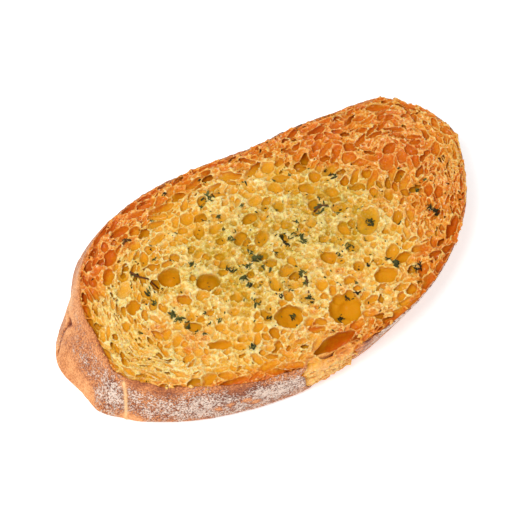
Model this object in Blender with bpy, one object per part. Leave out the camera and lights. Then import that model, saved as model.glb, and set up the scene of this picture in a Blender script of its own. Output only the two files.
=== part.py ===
"""A slice of garlic bread: cut on the bias from a floured loaf, toasted, and lying flat on its underside.

The slice is one solid. X runs along its length, Y across it, +Z up, and the origin is under the middle of
its box. The cut face is the upper one. Because the knife met the loaf at a slant, the underside has the same
outline as the cut face but lies to one side of it: the crust leans out under one end and in under the other.
Towards the underside it draws in at two places and swells out at a third.
"""

import math
from dataclasses import dataclass

import bmesh
import bpy
from mathutils import Matrix, Vector, noise

MM = 0.001

# Driving dimensions of the slice
THICKNESS = 20 * MM
LEAN = Vector((-10 * MM, 3.3 * MM, 0))  # from the cut face's outline to the underside's
CRUST_BULGE = 0.9 * MM  # how far the crust swells out at half its height
FACE_EDGE_ROUND = 0.8 * MM  # rounding where the crust meets the cut face
BASE_EDGE_ROUND = 2.2 * MM  # rounding where the crust meets the underside
CRUST_UNEVEN = 0.5 * MM  # the crust's own dents and blisters
CRUST_DENT_SIZE = 16 * MM
FACE_UNEVEN = 0.6 * MM  # the cut face's swell and sag
FACE_SWELL_SIZE = 24 * MM
FACE_FADE = 4  # the power with which the swell dies away towards the cut face's edge

# The cut face's outline, anticlockwise from its right end: points that a smooth closed curve passes through
FACE_OUTLINE_MM = [
    (69.6, 11.6), (67.9, 19.5), (64.1, 26.4), (57.3, 33.1), (48.6, 34.7), (28.6, 35.9), (11.0, 35.3),
    (-5.3, 36.3), (-22.6, 35.3), (-37.1, 31.3), (-44.8, 27.0), (-51.4, 21.2), (-56.0, 13.8), (-58.0, 2.0),
    (-58.3, -11.0), (-56.4, -18.6), (-51.0, -23.1), (-45.1, -27.6), (-32.1, -33.8), (-18.0, -37.7),
    (-4.5, -39.6), (3.6, -39.6), (17.8, -37.7), (34.0, -32.7), (48.0, -24.2), (57.7, -14.7), (64.8, -3.0),
]  # fmt: skip

# The crust's fold, a low ridge that runs down the crust from the cut face's near corner
FOLD_TOP_MM = (-57.0, -19.5)
FOLD_FOOT_MM = (-60.0, -23.5)
FOLD_RISE = 0.8 * MM
FOLD_WIDTH = 3.0 * MM


@dataclass(frozen=True)
class Tuck:
    """A place on the cut face's outline under which the crust draws in or swells out, most at the underside."""

    x_mm: float
    y_mm: float
    inward_mm: float  # how far the underside's edge is drawn in there, negative where it swells out
    spread_mm: float  # how far along the outline it spreads


TUCKS = [
    Tuck(-52.3, 19.5, 5.9, 12.0),
    Tuck(-58.0, -14.0, 1.4, 7.0),
    Tuck(-59.0, 1.5, -1.9, 8.0),
]


# How the body's surface is divided
AROUND = 88  # points round each ring
BASE_RINGS = 4  # from the middle of the underside to its edge
WALL_RINGS = 7  # up the crust
FACE_RINGS = 9  # from the cut face's edge to its middle
CURVE_STEPS = 24  # points read from each span of the outline before they are spaced evenly
SHARP_ANGLE = math.radians(40)

# The bubbles of the crumb are ellipsoids
SMALL_CELL_DETAIL = 2
LARGE_CELL_DETAIL = 3
LARGE_CELL_RADIUS_MM = 3.2  # a bubble this long or longer gets the finer ellipsoid

# Golden toasted bread, matt with a little butter
CRUMB_COLOUR = (0.72, 0.40, 0.11, 1)
CRUMB_ROUGHNESS = 0.6


@dataclass(frozen=True)
class Cell:
    """An open bubble of the crumb: where it lies, its radii, how the long one is turned, and its depth."""

    x_mm: float
    y_mm: float
    long_mm: float
    short_mm: float
    turn_deg: float
    depth_mm: float


CUT_FACE_CELLS = [
    Cell(-30.6, 5.4, 3.6, 3.3, 74, 3.6),
    Cell(-21.2, -1.1, 3.4, 3.2, 148, 3.6),
    Cell(-5.0, -21.9, 4.4, 4.2, 166, 4.4),
    Cell(10.8, -27.0, 5.8, 4.6, 47, 4.2),
    Cell(26.9, -22.1, 3.8, 2.9, 170, 3.0),
    Cell(30.7, -3.5, 4.6, 3.2, 43, 2.0),
    Cell(45.5, 12.1, 3.6, 2.4, 49, 1.8),
    Cell(50.6, 6.7, 2.0, 1.6, 47, 1.5),
    Cell(-17.1, 21.6, 2.7, 2.3, 29, 2.4),
    Cell(-33.2, 24.4, 1.9, 1.6, 31, 1.6),
    Cell(-46.6, 14.6, 2.6, 1.7, 59, 2.0),
    Cell(-41.6, 20.2, 2.6, 1.8, 45, 2.0),
    Cell(-44.4, 7.6, 2.8, 2.2, 47, 2.0),
    Cell(-44.6, 0.4, 2.6, 1.9, 59, 2.0),
    Cell(-49.3, -4.0, 2.0, 1.8, 70, 1.6),
    Cell(-27.3, -20.9, 3.7, 1.7, 162, 2.4),
    Cell(-16.1, -9.3, 2.0, 1.8, 20, 1.8),
    Cell(30.9, 11.8, 1.8, 1.5, 60, 1.8),
    Cell(23.9, 17.5, 2.0, 1.9, 9, 1.8),
    Cell(38.3, 8.4, 2.0, 1.7, 55, 1.8),
    Cell(40.5, 0.9, 2.3, 1.4, 64, 2.0),
    Cell(39.1, -8.0, 2.8, 1.6, 53, 2.0),
    Cell(35.7, 18.3, 2.4, 2.2, 157, 1.6),
    Cell(12.4, 26.8, 2.5, 2.0, 10, 1.8),
    Cell(-0.1, 5.6, 3.1, 2.1, 50, 1.8),
    Cell(1.2, -8.1, 2.8, 2.0, 13, 1.8),
    Cell(52.3, 30.0, 3.8, 1.2, 163, 1.6),
    Cell(31.8, 32.0, 3.2, 1.1, 177, 1.6),
    Cell(53.6, -13.8, 4.4, 1.4, 47, 2.6),
    Cell(43.0, -24.6, 2.6, 1.4, 38, 2.0),
    Cell(34.6, -27.8, 3.2, 1.7, 30, 2.2),
]
TORN_CRUST_SLIT = Cell(2.6, -36.0, 6.2, 1.9, 4, 3.0)
UNDERSIDE_CELLS = [
    Cell(-40.0, 12.0, 3.0, 2.2, 30, 2.6),
    Cell(-24.0, -14.0, 3.6, 2.8, 120, 3.0),
    Cell(-2.0, 15.0, 2.6, 2.2, 60, 2.4),
    Cell(14.0, -16.0, 4.0, 3.2, 20, 3.4),
    Cell(36.0, 10.0, 3.0, 2.4, 140, 2.6),
    Cell(-50.0, -6.0, 2.2, 1.5, 70, 1.8),
]


def smooth_closed_curve(points, steps):
    """Points along the closed Catmull-Rom curve through points, steps of them to each span."""
    curve = []
    count = len(points)
    for i in range(count):
        before, start, end, after = (points[(i + k) % count] for k in (-1, 0, 1, 2))
        for step in range(steps):
            t = step / steps
            curve.append(
                0.5 * (2 * start + (end - before) * t + (2 * before - 5 * start + 4 * end - after) * t**2
                       + (3 * start - before - 3 * end + after) * t**3)
            )  # fmt: skip
    return curve


def evenly_spaced(curve, count):
    """count points along a closed curve, the same distance apart."""
    lengths = [0.0]
    for here, ahead in zip(curve, curve[1:] + curve[:1]):
        lengths.append(lengths[-1] + (ahead - here).length)
    spaced = []
    span = 0
    for k in range(count):
        along = lengths[-1] * k / count
        while lengths[span + 1] < along:
            span += 1
        share = (along - lengths[span]) / (lengths[span + 1] - lengths[span])
        spaced.append(curve[span].lerp(curve[(span + 1) % len(curve)], share))
    return spaced


def outline_rim():
    """The cut face's outline as AROUND evenly spaced points, each with its outward direction."""
    named = [Vector((x * MM, y * MM, 0)) for x, y in FACE_OUTLINE_MM]
    rim = evenly_spaced(smooth_closed_curve(named, CURVE_STEPS), AROUND)
    outward = []
    for k in range(AROUND):
        along = rim[(k + 1) % AROUND] - rim[k - 1]
        outward.append(Vector((along.y, -along.x, 0)).normalized())
    return rim, outward


def middle_of(rim):
    """The mean of the rim's points, which every ring of the two cut surfaces closes on."""
    return sum(rim, Vector()) / len(rim)


def tuck_at(rim_point):
    """How far the underside's edge is drawn in below this point of the rim."""
    inward = 0.0
    for tuck in TUCKS:
        away = (rim_point - Vector((tuck.x_mm * MM, tuck.y_mm * MM, 0))).length
        inward += tuck.inward_mm * MM * math.exp(-((away / (tuck.spread_mm * MM)) ** 2))
    return inward


def wall_section(share):
    """How far the crust lies inside the outline, and its height, at this share of the way up the wall."""
    turn = share * math.pi
    height = THICKNESS * (1 - math.cos(turn)) / 2
    near_base = max(0.0, 1 - height / BASE_EDGE_ROUND)
    near_face = max(0.0, 1 - (THICKNESS - height) / FACE_EDGE_ROUND)
    inset = BASE_EDGE_ROUND * near_base**2 + FACE_EDGE_ROUND * near_face**2
    return inset - CRUST_BULGE * math.sin(turn), height


def crust_relief(point):
    """How far the crust swells beyond its smooth form here: its dents, and the fold at the near corner."""
    dents = CRUST_UNEVEN * noise.noise(point / CRUST_DENT_SIZE)
    fold_top = Vector((FOLD_TOP_MM[0] * MM, FOLD_TOP_MM[1] * MM, 0))
    fold_foot = Vector((FOLD_FOOT_MM[0] * MM, FOLD_FOOT_MM[1] * MM, 0))
    fold_middle = fold_foot.lerp(fold_top, point.z / THICKNESS)
    away = (Vector((point.x, point.y, 0)) - fold_middle).length
    return dents + FOLD_RISE * math.exp(-((away / FOLD_WIDTH) ** 2))


def face_relief(point, share):
    """How far the cut face rises or sags from its plane, fading to nothing at its edge."""
    swell = noise.noise(Vector((point.x, point.y, 0)) / FACE_SWELL_SIZE)
    return FACE_UNEVEN * swell * (1 - share**FACE_FADE)


def ring_point(ring, rim_point, outward, middle):
    """Where the body's surface passes, on this ring, beyond this point of the rim."""
    if ring <= BASE_RINGS:
        share = ring / BASE_RINGS
        inset, _ = wall_section(0)
        edge = rim_point - outward * (inset + tuck_at(rim_point))
        return middle.lerp(edge, share) + LEAN
    if ring <= BASE_RINGS + WALL_RINGS:
        inset, height = wall_section((ring - BASE_RINGS) / WALL_RINGS)
        below = 1 - height / THICKNESS
        smooth = rim_point - outward * (inset + tuck_at(rim_point) * below) + LEAN * below
        smooth.z = height
        fade = math.sin(math.pi * height / THICKNESS)
        return smooth + outward * crust_relief(smooth) * fade
    share = (BASE_RINGS + WALL_RINGS + FACE_RINGS - ring) / FACE_RINGS
    inset, _ = wall_section(1)
    point = middle.lerp(rim_point - outward * inset, share)
    point.z = THICKNESS + face_relief(point, share)
    return point


def add_body(collection):
    """Adds the slice with no bubbles open: a sphere's rings and meridians drawn over the slice's form."""
    rings = BASE_RINGS + WALL_RINGS + FACE_RINGS
    rim, outward = outline_rim()
    middle = middle_of(rim)
    form = bmesh.new()
    bmesh.ops.create_uvsphere(form, u_segments=AROUND, v_segments=rings, radius=1)
    for vertex in form.verts:
        latitude = math.asin(max(-1.0, min(1.0, vertex.co.z)))
        ring = round((latitude / math.pi + 0.5) * rings)
        meridian = round(math.atan2(vertex.co.y, vertex.co.x) / math.tau * AROUND) % AROUND
        vertex.co = ring_point(ring, rim[meridian], outward[meridian], middle)
    bmesh.ops.recalc_face_normals(form, faces=form.faces)
    mesh = bpy.data.meshes.new("garlic_bread")
    form.to_mesh(mesh)
    form.free()
    body = bpy.data.objects.new("garlic_bread", mesh)
    collection.objects.link(body)
    return body


def add_cell(collection, name, cell, height):
    """Adds a cutter in the shape of one bubble, its middle at this height."""
    detail = LARGE_CELL_DETAIL if cell.long_mm >= LARGE_CELL_RADIUS_MM else SMALL_CELL_DETAIL
    bubble = bmesh.new()
    bmesh.ops.create_icosphere(bubble, subdivisions=detail, radius=1)
    mesh = bpy.data.meshes.new(name)
    stretch = Matrix.Diagonal((cell.long_mm * MM, cell.short_mm * MM, cell.depth_mm * MM, 1))
    bubble.transform(Matrix.Rotation(math.radians(cell.turn_deg), 4, "Z") @ stretch)
    bubble.to_mesh(mesh)
    bubble.free()
    cutter = bpy.data.objects.new(name, mesh)
    cutter.location = (cell.x_mm * MM, cell.y_mm * MM, height)
    cutter.hide_render = True
    cutter.display_type = "WIRE"
    collection.objects.link(cutter)


def open_bubbles(body, cutters):
    """Takes every bubble out of the body with one Boolean."""
    cut = body.modifiers.new("open_bubbles", "BOOLEAN")
    cut.operation = "DIFFERENCE"
    cut.solver = "EXACT"
    cut.operand_type = "COLLECTION"
    cut.collection = cutters


def toasted_crumb():
    """The slice's one material."""
    material = bpy.data.materials.new("toasted_crumb")
    material.use_nodes = True
    shader = material.node_tree.nodes["Principled BSDF"]
    shader.inputs["Base Color"].default_value = CRUMB_COLOUR
    shader.inputs["Roughness"].default_value = CRUMB_ROUGHNESS
    shader.inputs["Metallic"].default_value = 0.0
    return material


def new_collection(name):
    """A collection of this name in the scene."""
    collection = bpy.data.collections.new(name)
    bpy.context.scene.collection.children.link(collection)
    return collection


def centre_over_origin(body, cutters):
    """Moves the slice and its cutters so that the slice's box is centred on the origin in X and Y."""
    corners = [Vector(corner) for corner in body.bound_box]
    middle = (corners[0] + corners[6]) / 2
    shift = Vector((-middle.x, -middle.y, 0))
    for piece in [body, *cutters.objects]:
        piece.location += shift


def main():
    """Clears the scene and builds the slice."""
    for old in list(bpy.data.objects):
        bpy.data.objects.remove(old, do_unlink=True)
    parts = new_collection("garlic_bread_slice")
    cutters = new_collection("bubble_cutters")
    body = add_body(parts)
    body.data.materials.append(toasted_crumb())
    for k, cell in enumerate([*CUT_FACE_CELLS, TORN_CRUST_SLIT]):
        add_cell(cutters, f"face_bubble_{k:02d}", cell, THICKNESS)
    for k, cell in enumerate(UNDERSIDE_CELLS):
        add_cell(cutters, f"underside_bubble_{k:02d}", cell, 0)
    centre_over_origin(body, cutters)
    open_bubbles(body, cutters)
    body.data.shade_smooth()
    body.data.set_sharp_from_angle(angle=SHARP_ANGLE)


if __name__ == "__main__":
    main()
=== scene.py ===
"""The looks of a slice of garlic bread: its toasted crumb, its floured crust and the herbs scattered on it.

Lengths in this file are millimetres, and meshes are turned into metres as they are made. X runs along
the slice, Y across it and +Z up out of the buttered cut face. Places are given in the outline's own
coordinates, and every finished piece is moved from there to where the CAD model has the slice.
"""

import logging
import math
from dataclasses import dataclass, field
from enum import Enum
from typing import Any

import bpy
import numpy as np
import openvdb
from mathutils import Matrix, Vector
from mathutils.bvhtree import BVHTree


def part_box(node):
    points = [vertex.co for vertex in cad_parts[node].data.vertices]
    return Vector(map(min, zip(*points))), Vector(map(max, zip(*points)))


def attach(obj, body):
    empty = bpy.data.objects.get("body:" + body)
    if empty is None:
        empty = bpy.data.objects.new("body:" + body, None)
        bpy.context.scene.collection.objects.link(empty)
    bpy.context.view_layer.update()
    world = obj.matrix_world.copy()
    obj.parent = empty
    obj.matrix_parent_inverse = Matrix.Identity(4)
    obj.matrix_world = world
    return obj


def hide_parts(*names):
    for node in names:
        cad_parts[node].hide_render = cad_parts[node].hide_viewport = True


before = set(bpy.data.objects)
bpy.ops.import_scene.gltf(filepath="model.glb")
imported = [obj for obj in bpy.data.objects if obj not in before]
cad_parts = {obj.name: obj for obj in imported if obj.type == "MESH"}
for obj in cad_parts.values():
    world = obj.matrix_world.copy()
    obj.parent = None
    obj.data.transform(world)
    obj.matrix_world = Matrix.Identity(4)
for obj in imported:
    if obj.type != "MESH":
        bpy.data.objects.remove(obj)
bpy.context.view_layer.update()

LOG = logging.getLogger("garlic_bread")
NODE = "garlic_bread"
BODY = "root"
METRES = 0.001

Array = np.ndarray
Point = tuple[float, float]
Place = tuple[float, float, float]


# -------- Numbers that vary over the slice --------


def smoothstep(low: float, high: float, value: Array) -> Array:
    """A smooth rise from 0 at low to 1 at high."""
    share = np.clip((value - low) / (high - low), 0.0, 1.0)
    return share * share * (3.0 - 2.0 * share)


def rounded_maximum(first: Array, second: Array, reach: Array) -> Array:
    """The larger of the two at each sample, with the edge where they meet rounded off within this reach."""
    near = np.maximum(reach - np.abs(first - second), 0.0) / reach
    return np.maximum(first, second) + near * near * (reach / 4)


@dataclass(frozen=True)
class Grid:
    """Evenly spaced sample points in a box.

    Attributes:
        low: The box's lowest corner.
        step: The distance between neighbouring samples.
        shape: How many samples there are along X, Y and Z.
    """

    low: Place
    step: float
    shape: tuple[int, int, int]

    @staticmethod
    def over(low: Place, high: Place, step: float) -> "Grid":
        """A grid that reaches from low to high."""
        shape = tuple(int(math.ceil((b - a) / step)) + 1 for a, b in zip(low, high))
        return Grid(low, step, shape)

    def axis(self, k: int) -> Array:
        """The samples' places along one axis."""
        return (self.low[k] + self.step * np.arange(self.shape[k])).astype(np.float32)

    def flat(self) -> tuple[Array, Array]:
        """The samples' X and Y places, as two two-dimensional arrays."""
        return np.meshgrid(self.axis(0), self.axis(1), indexing="ij")

    def at(self, values: Array, points: Array) -> Array:
        """Reads a field at any points, straight-lined between its samples.

        Args:
            values: The field, with a value for each sample.
            points: One row for each point.

        Returns:
            One value for each point.
        """
        dims = values.ndim
        place = (points[:, :dims] - np.array(self.low[:dims])) / self.step
        place = np.clip(place, 0, np.array(values.shape) - 1.001)
        cell = place.astype(int)
        share = place - cell
        total = np.zeros(len(points))
        for corner in np.ndindex(*(2,) * dims):
            weight = np.prod(np.where(np.array(corner), share, 1 - share), axis=1)
            total += weight * values[tuple((cell + np.array(corner)).T)]
        return total


def uneven(rng: np.random.Generator, shape: tuple[int, ...], step: float, size: float) -> Array:
    """Smooth random numbers from -1 to 1 on a grid.

    Args:
        rng: The seeded source of the numbers.
        shape: The grid's shape.
        step: The grid's spacing.
        size: About how far apart the lumps are.

    Returns:
        An array of that shape.
    """
    values = rng.uniform(-1.0, 1.0, [int(n * step / size) + 3 for n in shape]).astype(np.float32)
    for k, count in enumerate(shape):
        place = np.arange(count, dtype=np.float32) * (step / size)
        cell = place.astype(int)
        share = place - cell
        share = share * share * (3 - 2 * share)
        share = share.reshape([-1 if axis == k else 1 for axis in range(len(shape))])
        values = np.take(values, cell, axis=k) * (1 - share) + np.take(values, cell + 1, axis=k) * share
    return values


@dataclass(frozen=True)
class Oval:
    """An oval on the slice.

    Attributes:
        x: Its middle.
        y: Its middle.
        long: Its longer radius.
        short: Its shorter radius.
        turn: Degrees from X to its longer radius, anticlockwise.
    """

    x: float
    y: float
    long: float
    short: float
    turn: float


@dataclass(frozen=True)
class Patch(Oval):
    """A soft-edged oval where something is stronger, such as the slice's toasting.

    Attributes:
        strength: What it adds at its middle.
    """

    strength: float

    def at(self, x: Array, y: Array) -> Array:
        """What the patch adds at these places."""
        angle = math.radians(self.turn)
        along = ((x - self.x) * math.cos(angle) + (y - self.y) * math.sin(angle)) / self.long
        across = ((y - self.y) * math.cos(angle) - (x - self.x) * math.sin(angle)) / self.short
        return self.strength * np.exp(-((along**2 + across**2) ** 1.5))


def table(kind: type, rows: tuple[tuple, ...]) -> tuple:
    """One object of this kind for each row of its values."""
    return tuple(kind(*row) for row in rows)


def sum_of(patches: tuple[Patch, ...], x: Array, y: Array) -> Array:
    """What all these patches add together at these places."""
    total = np.zeros_like(x)
    for patch in patches:
        total += patch.at(x, y)
    return total


# -------- The slice's form --------

FACE_OUTLINE: tuple[Point, ...] = (
    (69.6, 11.6), (67.9, 19.5), (64.1, 26.4), (57.3, 33.1), (48.6, 34.7), (28.6, 35.9), (11.0, 35.3),
    (-5.3, 36.3), (-22.6, 35.3), (-37.1, 31.3), (-44.8, 27.0), (-51.4, 21.2), (-56.0, 13.8), (-58.0, 2.0),
    (-58.3, -11.0), (-56.4, -18.6), (-51.0, -23.1), (-45.1, -27.6), (-32.1, -33.8), (-18.0, -37.7),
    (-4.5, -39.6), (3.6, -39.6), (17.8, -37.7), (34.0, -32.7), (48.0, -24.2), (57.7, -14.7), (64.8, -3.0),
)


@dataclass(frozen=True)
class Tuck:
    """A place on the outline under which the crust draws in or swells out, most at the underside.

    Attributes:
        x: Its middle.
        y: Its middle.
        inward: How far the underside's edge is drawn in there, negative where it swells out.
        spread: How far along the outline it spreads.
    """

    x: float
    y: float
    inward: float
    spread: float

    def at(self, x: Array, y: Array) -> Array:
        """How far the underside's edge is drawn in at these places on the outline."""
        return self.inward * np.exp(-((x - self.x) ** 2 + (y - self.y) ** 2) / self.spread**2)


TUCKS: tuple[Tuck, ...] = (
    Tuck(-52.3, 19.5, 5.9, 12.0),
    Tuck(-58.0, -14.0, 1.4, 7.0),
    Tuck(-59.0, 1.5, -1.9, 8.0),
)


def tucked_in(x: Array, y: Array) -> Array:
    """How far the underside's edge is drawn in altogether at these places on the outline."""
    return sum(tuck.at(x, y) for tuck in TUCKS)


@dataclass
class SliceForm:
    """The slice's outline and the section of its crust, the same as the CAD solid's.

    Attributes:
        thickness: From the underside to the cut face.
        lean: From the cut face's outline to the underside's.
        bulge: How far the crust swells out at half its height.
        face_round: Rounding where the crust meets the cut face.
        base_round: Rounding where the crust meets the underside.
        curve_steps: Points read from each span of the outline.
        around: Evenly spaced points on the outline.
        rim: The outline's points.
        outward: The outward direction at each of them.
        tucked: How far the underside's edge is drawn in at each of them.
        shift: From the outline's own coordinates to the CAD model's.
    """

    thickness: float = 20.0
    lean: Point = (-10.0, 3.3)
    bulge: float = 0.9
    face_round: float = 0.8
    base_round: float = 2.2
    curve_steps: int = 12
    around: int = 960
    rim: Array = field(init=False)
    outward: Array = field(init=False)
    tucked: Array = field(init=False)
    shift: Array = field(init=False)

    def __post_init__(self) -> None:
        """Works out the outline, and where the CAD model has it."""
        self.rim = self._evenly_spaced(self._smooth_curve())
        self.outward = self._outward()
        self.tucked = tucked_in(self.rim[:, 0], self.rim[:, 1])
        wall = np.concatenate([self.wall_at(z)[:, :2] for z in np.linspace(0, self.thickness, 15)])
        low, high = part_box(NODE)
        middle = np.array((low.x + high.x, low.y + high.y)) / (2 * METRES)
        self.shift = np.append(middle - (wall.min(axis=0) + wall.max(axis=0)) / 2, 0.0)

    def _smooth_curve(self) -> Array:
        """Points on the closed Catmull-Rom curve through the outline's own."""
        points = np.array(FACE_OUTLINE)
        before, ahead, after = np.roll(points, 1, 0), np.roll(points, -1, 0), np.roll(points, -2, 0)
        t = (np.arange(self.curve_steps) / self.curve_steps)[None, :, None]
        start, end, before, after = (p[:, None, :] for p in (points, ahead, before, after))
        curve = 0.5 * (
            2 * start
            + (end - before) * t
            + (2 * before - 5 * start + 4 * end - after) * t**2
            + (3 * start - before - 3 * end + after) * t**3
        )
        return curve.reshape(-1, 2)

    def _evenly_spaced(self, curve: Array) -> Array:
        """As many points as around says, the same distance apart along the curve."""
        closed = np.vstack([curve, curve[:1]])
        along = np.concatenate([[0], np.cumsum(np.linalg.norm(np.diff(closed, axis=0), axis=1))])
        wanted = np.linspace(0, along[-1], self.around, endpoint=False)
        return np.stack([np.interp(wanted, along, closed[:, k]) for k in (0, 1)], axis=1)

    def _outward(self) -> Array:
        """The outward direction at each point of the outline."""
        ahead = np.roll(self.rim, -3, 0) - np.roll(self.rim, 3, 0)
        outward = np.stack([ahead[:, 1], -ahead[:, 0]], axis=1)
        return outward / np.linalg.norm(outward, axis=1, keepdims=True)

    def inset(self, z: Array) -> Array:
        """How far inside the outline the crust's surface lies at this height."""
        z = np.asarray(z, dtype=float)
        near_base = np.maximum(0, 1 - z / self.base_round)
        near_face = np.maximum(0, 1 - (self.thickness - z) / self.face_round)
        swell = np.sqrt(np.clip(z * (self.thickness - z), 0, None)) * 2 / self.thickness
        return self.base_round * near_base**2 + self.face_round * near_face**2 - self.bulge * swell

    def lean_at(self, z: Array) -> Array:
        """How far the outline has moved sideways at this height."""
        share = 1 - np.asarray(z, dtype=float) / self.thickness
        return share[..., None] * np.array(self.lean)

    def wall_at(self, z: float | Array) -> Array:
        """The crust's smooth outer surface, a point for each of the outline's, at one height or more."""
        height = np.broadcast_to(np.asarray(z, dtype=float), len(self.rim))
        inward = self.inset(height) + self.tucked * (1 - height / self.thickness)
        flat = self.rim - self.outward * inward[:, None] + self.lean_at(height)
        return np.column_stack([flat, height])

    def edge_distance(self, grid: Grid) -> Array:
        """How far each of the grid's X, Y places is outside the outline, negative inside.

        Args:
            grid: The samples, of which only X and Y count.

        Returns:
            A two-dimensional array.
        """
        x, y = grid.flat()
        nearest = np.full(x.shape, np.inf, np.float32)
        inside = np.zeros(x.shape, bool)
        corners = self.rim[:: self.around // 240].astype(np.float32)
        for start, end in zip(corners, np.roll(corners, -1, 0)):
            span = end - start
            share = np.clip(((x - start[0]) * span[0] + (y - start[1]) * span[1]) / (span @ span), 0, 1)
            gap = (x - start[0] - share * span[0]) ** 2 + (y - start[1] - share * span[1]) ** 2
            nearest = np.minimum(nearest, gap)
            if start[1] != end[1]:
                crossing = (start[1] > y) != (end[1] > y)
                inside ^= crossing & (x < span[0] * (y - start[1]) / span[1] + start[0])
        distance = np.sqrt(nearest)
        return np.where(inside, -distance, distance)


# -------- Meshes --------


def new_piece(name: str, points: Array, faces: Array) -> bpy.types.Object:
    """Makes an object from points in millimetres and faces, smooth shaded.

    Args:
        name: The piece's name.
        points: One row for each point.
        faces: One row of point numbers for each face.

    Returns:
        The object, linked to the scene.
    """
    mesh = bpy.data.meshes.new(name)
    mesh.vertices.add(len(points))
    mesh.vertices.foreach_set("co", (points * METRES).astype(np.float32).ravel())
    mesh.loops.add(faces.size)
    mesh.loops.foreach_set("vertex_index", faces.astype(np.int32).ravel())
    mesh.polygons.add(len(faces))
    mesh.polygons.foreach_set("loop_start", np.arange(0, faces.size, faces.shape[1], dtype=np.int32))
    mesh.update(calc_edges=True)
    mesh.validate()
    mesh.shade_smooth()
    piece = bpy.data.objects.new(name, mesh)
    bpy.context.scene.collection.objects.link(piece)
    return piece


def largest_part(points: Array, faces: Array) -> tuple[Array, Array]:
    """Keeps the largest part of a surface whose faces all hang together, and leaves out loose bits.

    Args:
        points: One row for each point.
        faces: One row of point numbers for each face.

    Returns:
        That part's points and faces.
    """
    label = np.arange(len(points))
    while True:
        lowest = label.copy()
        np.minimum.at(lowest, faces.ravel(), np.repeat(label[faces].min(axis=1), faces.shape[1]))
        lowest = lowest[lowest]
        if (lowest == label).all():
            break
        label = lowest
    kept = label == np.bincount(label).argmax()
    number = np.cumsum(kept) - 1
    return points[kept], number[faces[kept[faces[:, 0]]]]


def points_of(piece: bpy.types.Object) -> Array:
    """The piece's points in millimetres, one row each."""
    flat = np.empty(len(piece.data.vertices) * 3, np.float32)
    piece.data.vertices.foreach_get("co", flat)
    return flat.reshape(-1, 3).astype(float) / METRES


def ridges_of(piece: bpy.types.Object) -> Array:
    """How far each point stands proud of its neighbours, in millimetres, negative in a pit."""
    points = points_of(piece)
    normals = np.empty(len(points) * 3, np.float32)
    piece.data.vertices.foreach_get("normal", normals)
    ends = np.empty(len(piece.data.edges) * 2, np.int32)
    piece.data.edges.foreach_get("vertices", ends)
    ends = ends.reshape(-1, 2)
    total = np.zeros_like(points)
    count = np.zeros(len(points))
    for here, there in (ends.T, ends.T[::-1]):
        for k in range(3):
            total[:, k] += np.bincount(here, weights=points[there, k], minlength=len(points))
        count += np.bincount(here, minlength=len(points))
    away = points - total / np.maximum(count, 1)[:, None]
    return (away * normals.reshape(-1, 3)).sum(axis=1)


def paint(piece: bpy.types.Object, values: dict[str, Array]) -> None:
    """Keeps numbers for each point of the piece, by name, for its material to read."""
    for name, numbers in values.items():
        layer = piece.data.attributes.new(name, "FLOAT", "POINT")
        layer.data.foreach_set("value", np.clip(numbers, 0, 1).astype(np.float32))


def thin_to(piece: bpy.types.Object, most: int) -> None:
    """Decimates the piece to at most this many triangles."""
    triangles = sum(len(p.vertices) - 2 for p in piece.data.polygons)
    if triangles <= most:
        return
    bpy.ops.object.select_all(action="DESELECT")
    piece.select_set(True)
    bpy.context.view_layer.objects.active = piece
    modifier = piece.modifiers.new("thin", "DECIMATE")
    modifier.ratio = most / triangles
    bpy.ops.object.modifier_apply(modifier=modifier.name)
    piece.data.shade_smooth()


def finish_piece(piece: bpy.types.Object, material: bpy.types.Material, form: SliceForm) -> None:
    """Moves the piece to where the CAD model has the slice, dresses it and sets it on the slice."""
    piece.data.transform(Matrix.Translation(Vector(form.shift) * METRES))
    piece.data.materials.clear()
    piece.data.materials.append(material)
    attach(piece, BODY)
    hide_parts(NODE)
    LOG.info("%s: %d points, %d faces", piece.name, len(piece.data.vertices), len(piece.data.polygons))


# -------- Crumb --------


@dataclass(frozen=True)
class Bubble(Oval):
    """An open bubble of the crumb, as an ellipsoid under an oval of the cut face.

    Attributes:
        depth: Its radius downwards.
        sink: How far its middle lies under the cut face.
    """

    depth: float
    sink: float = 0.0


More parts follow.
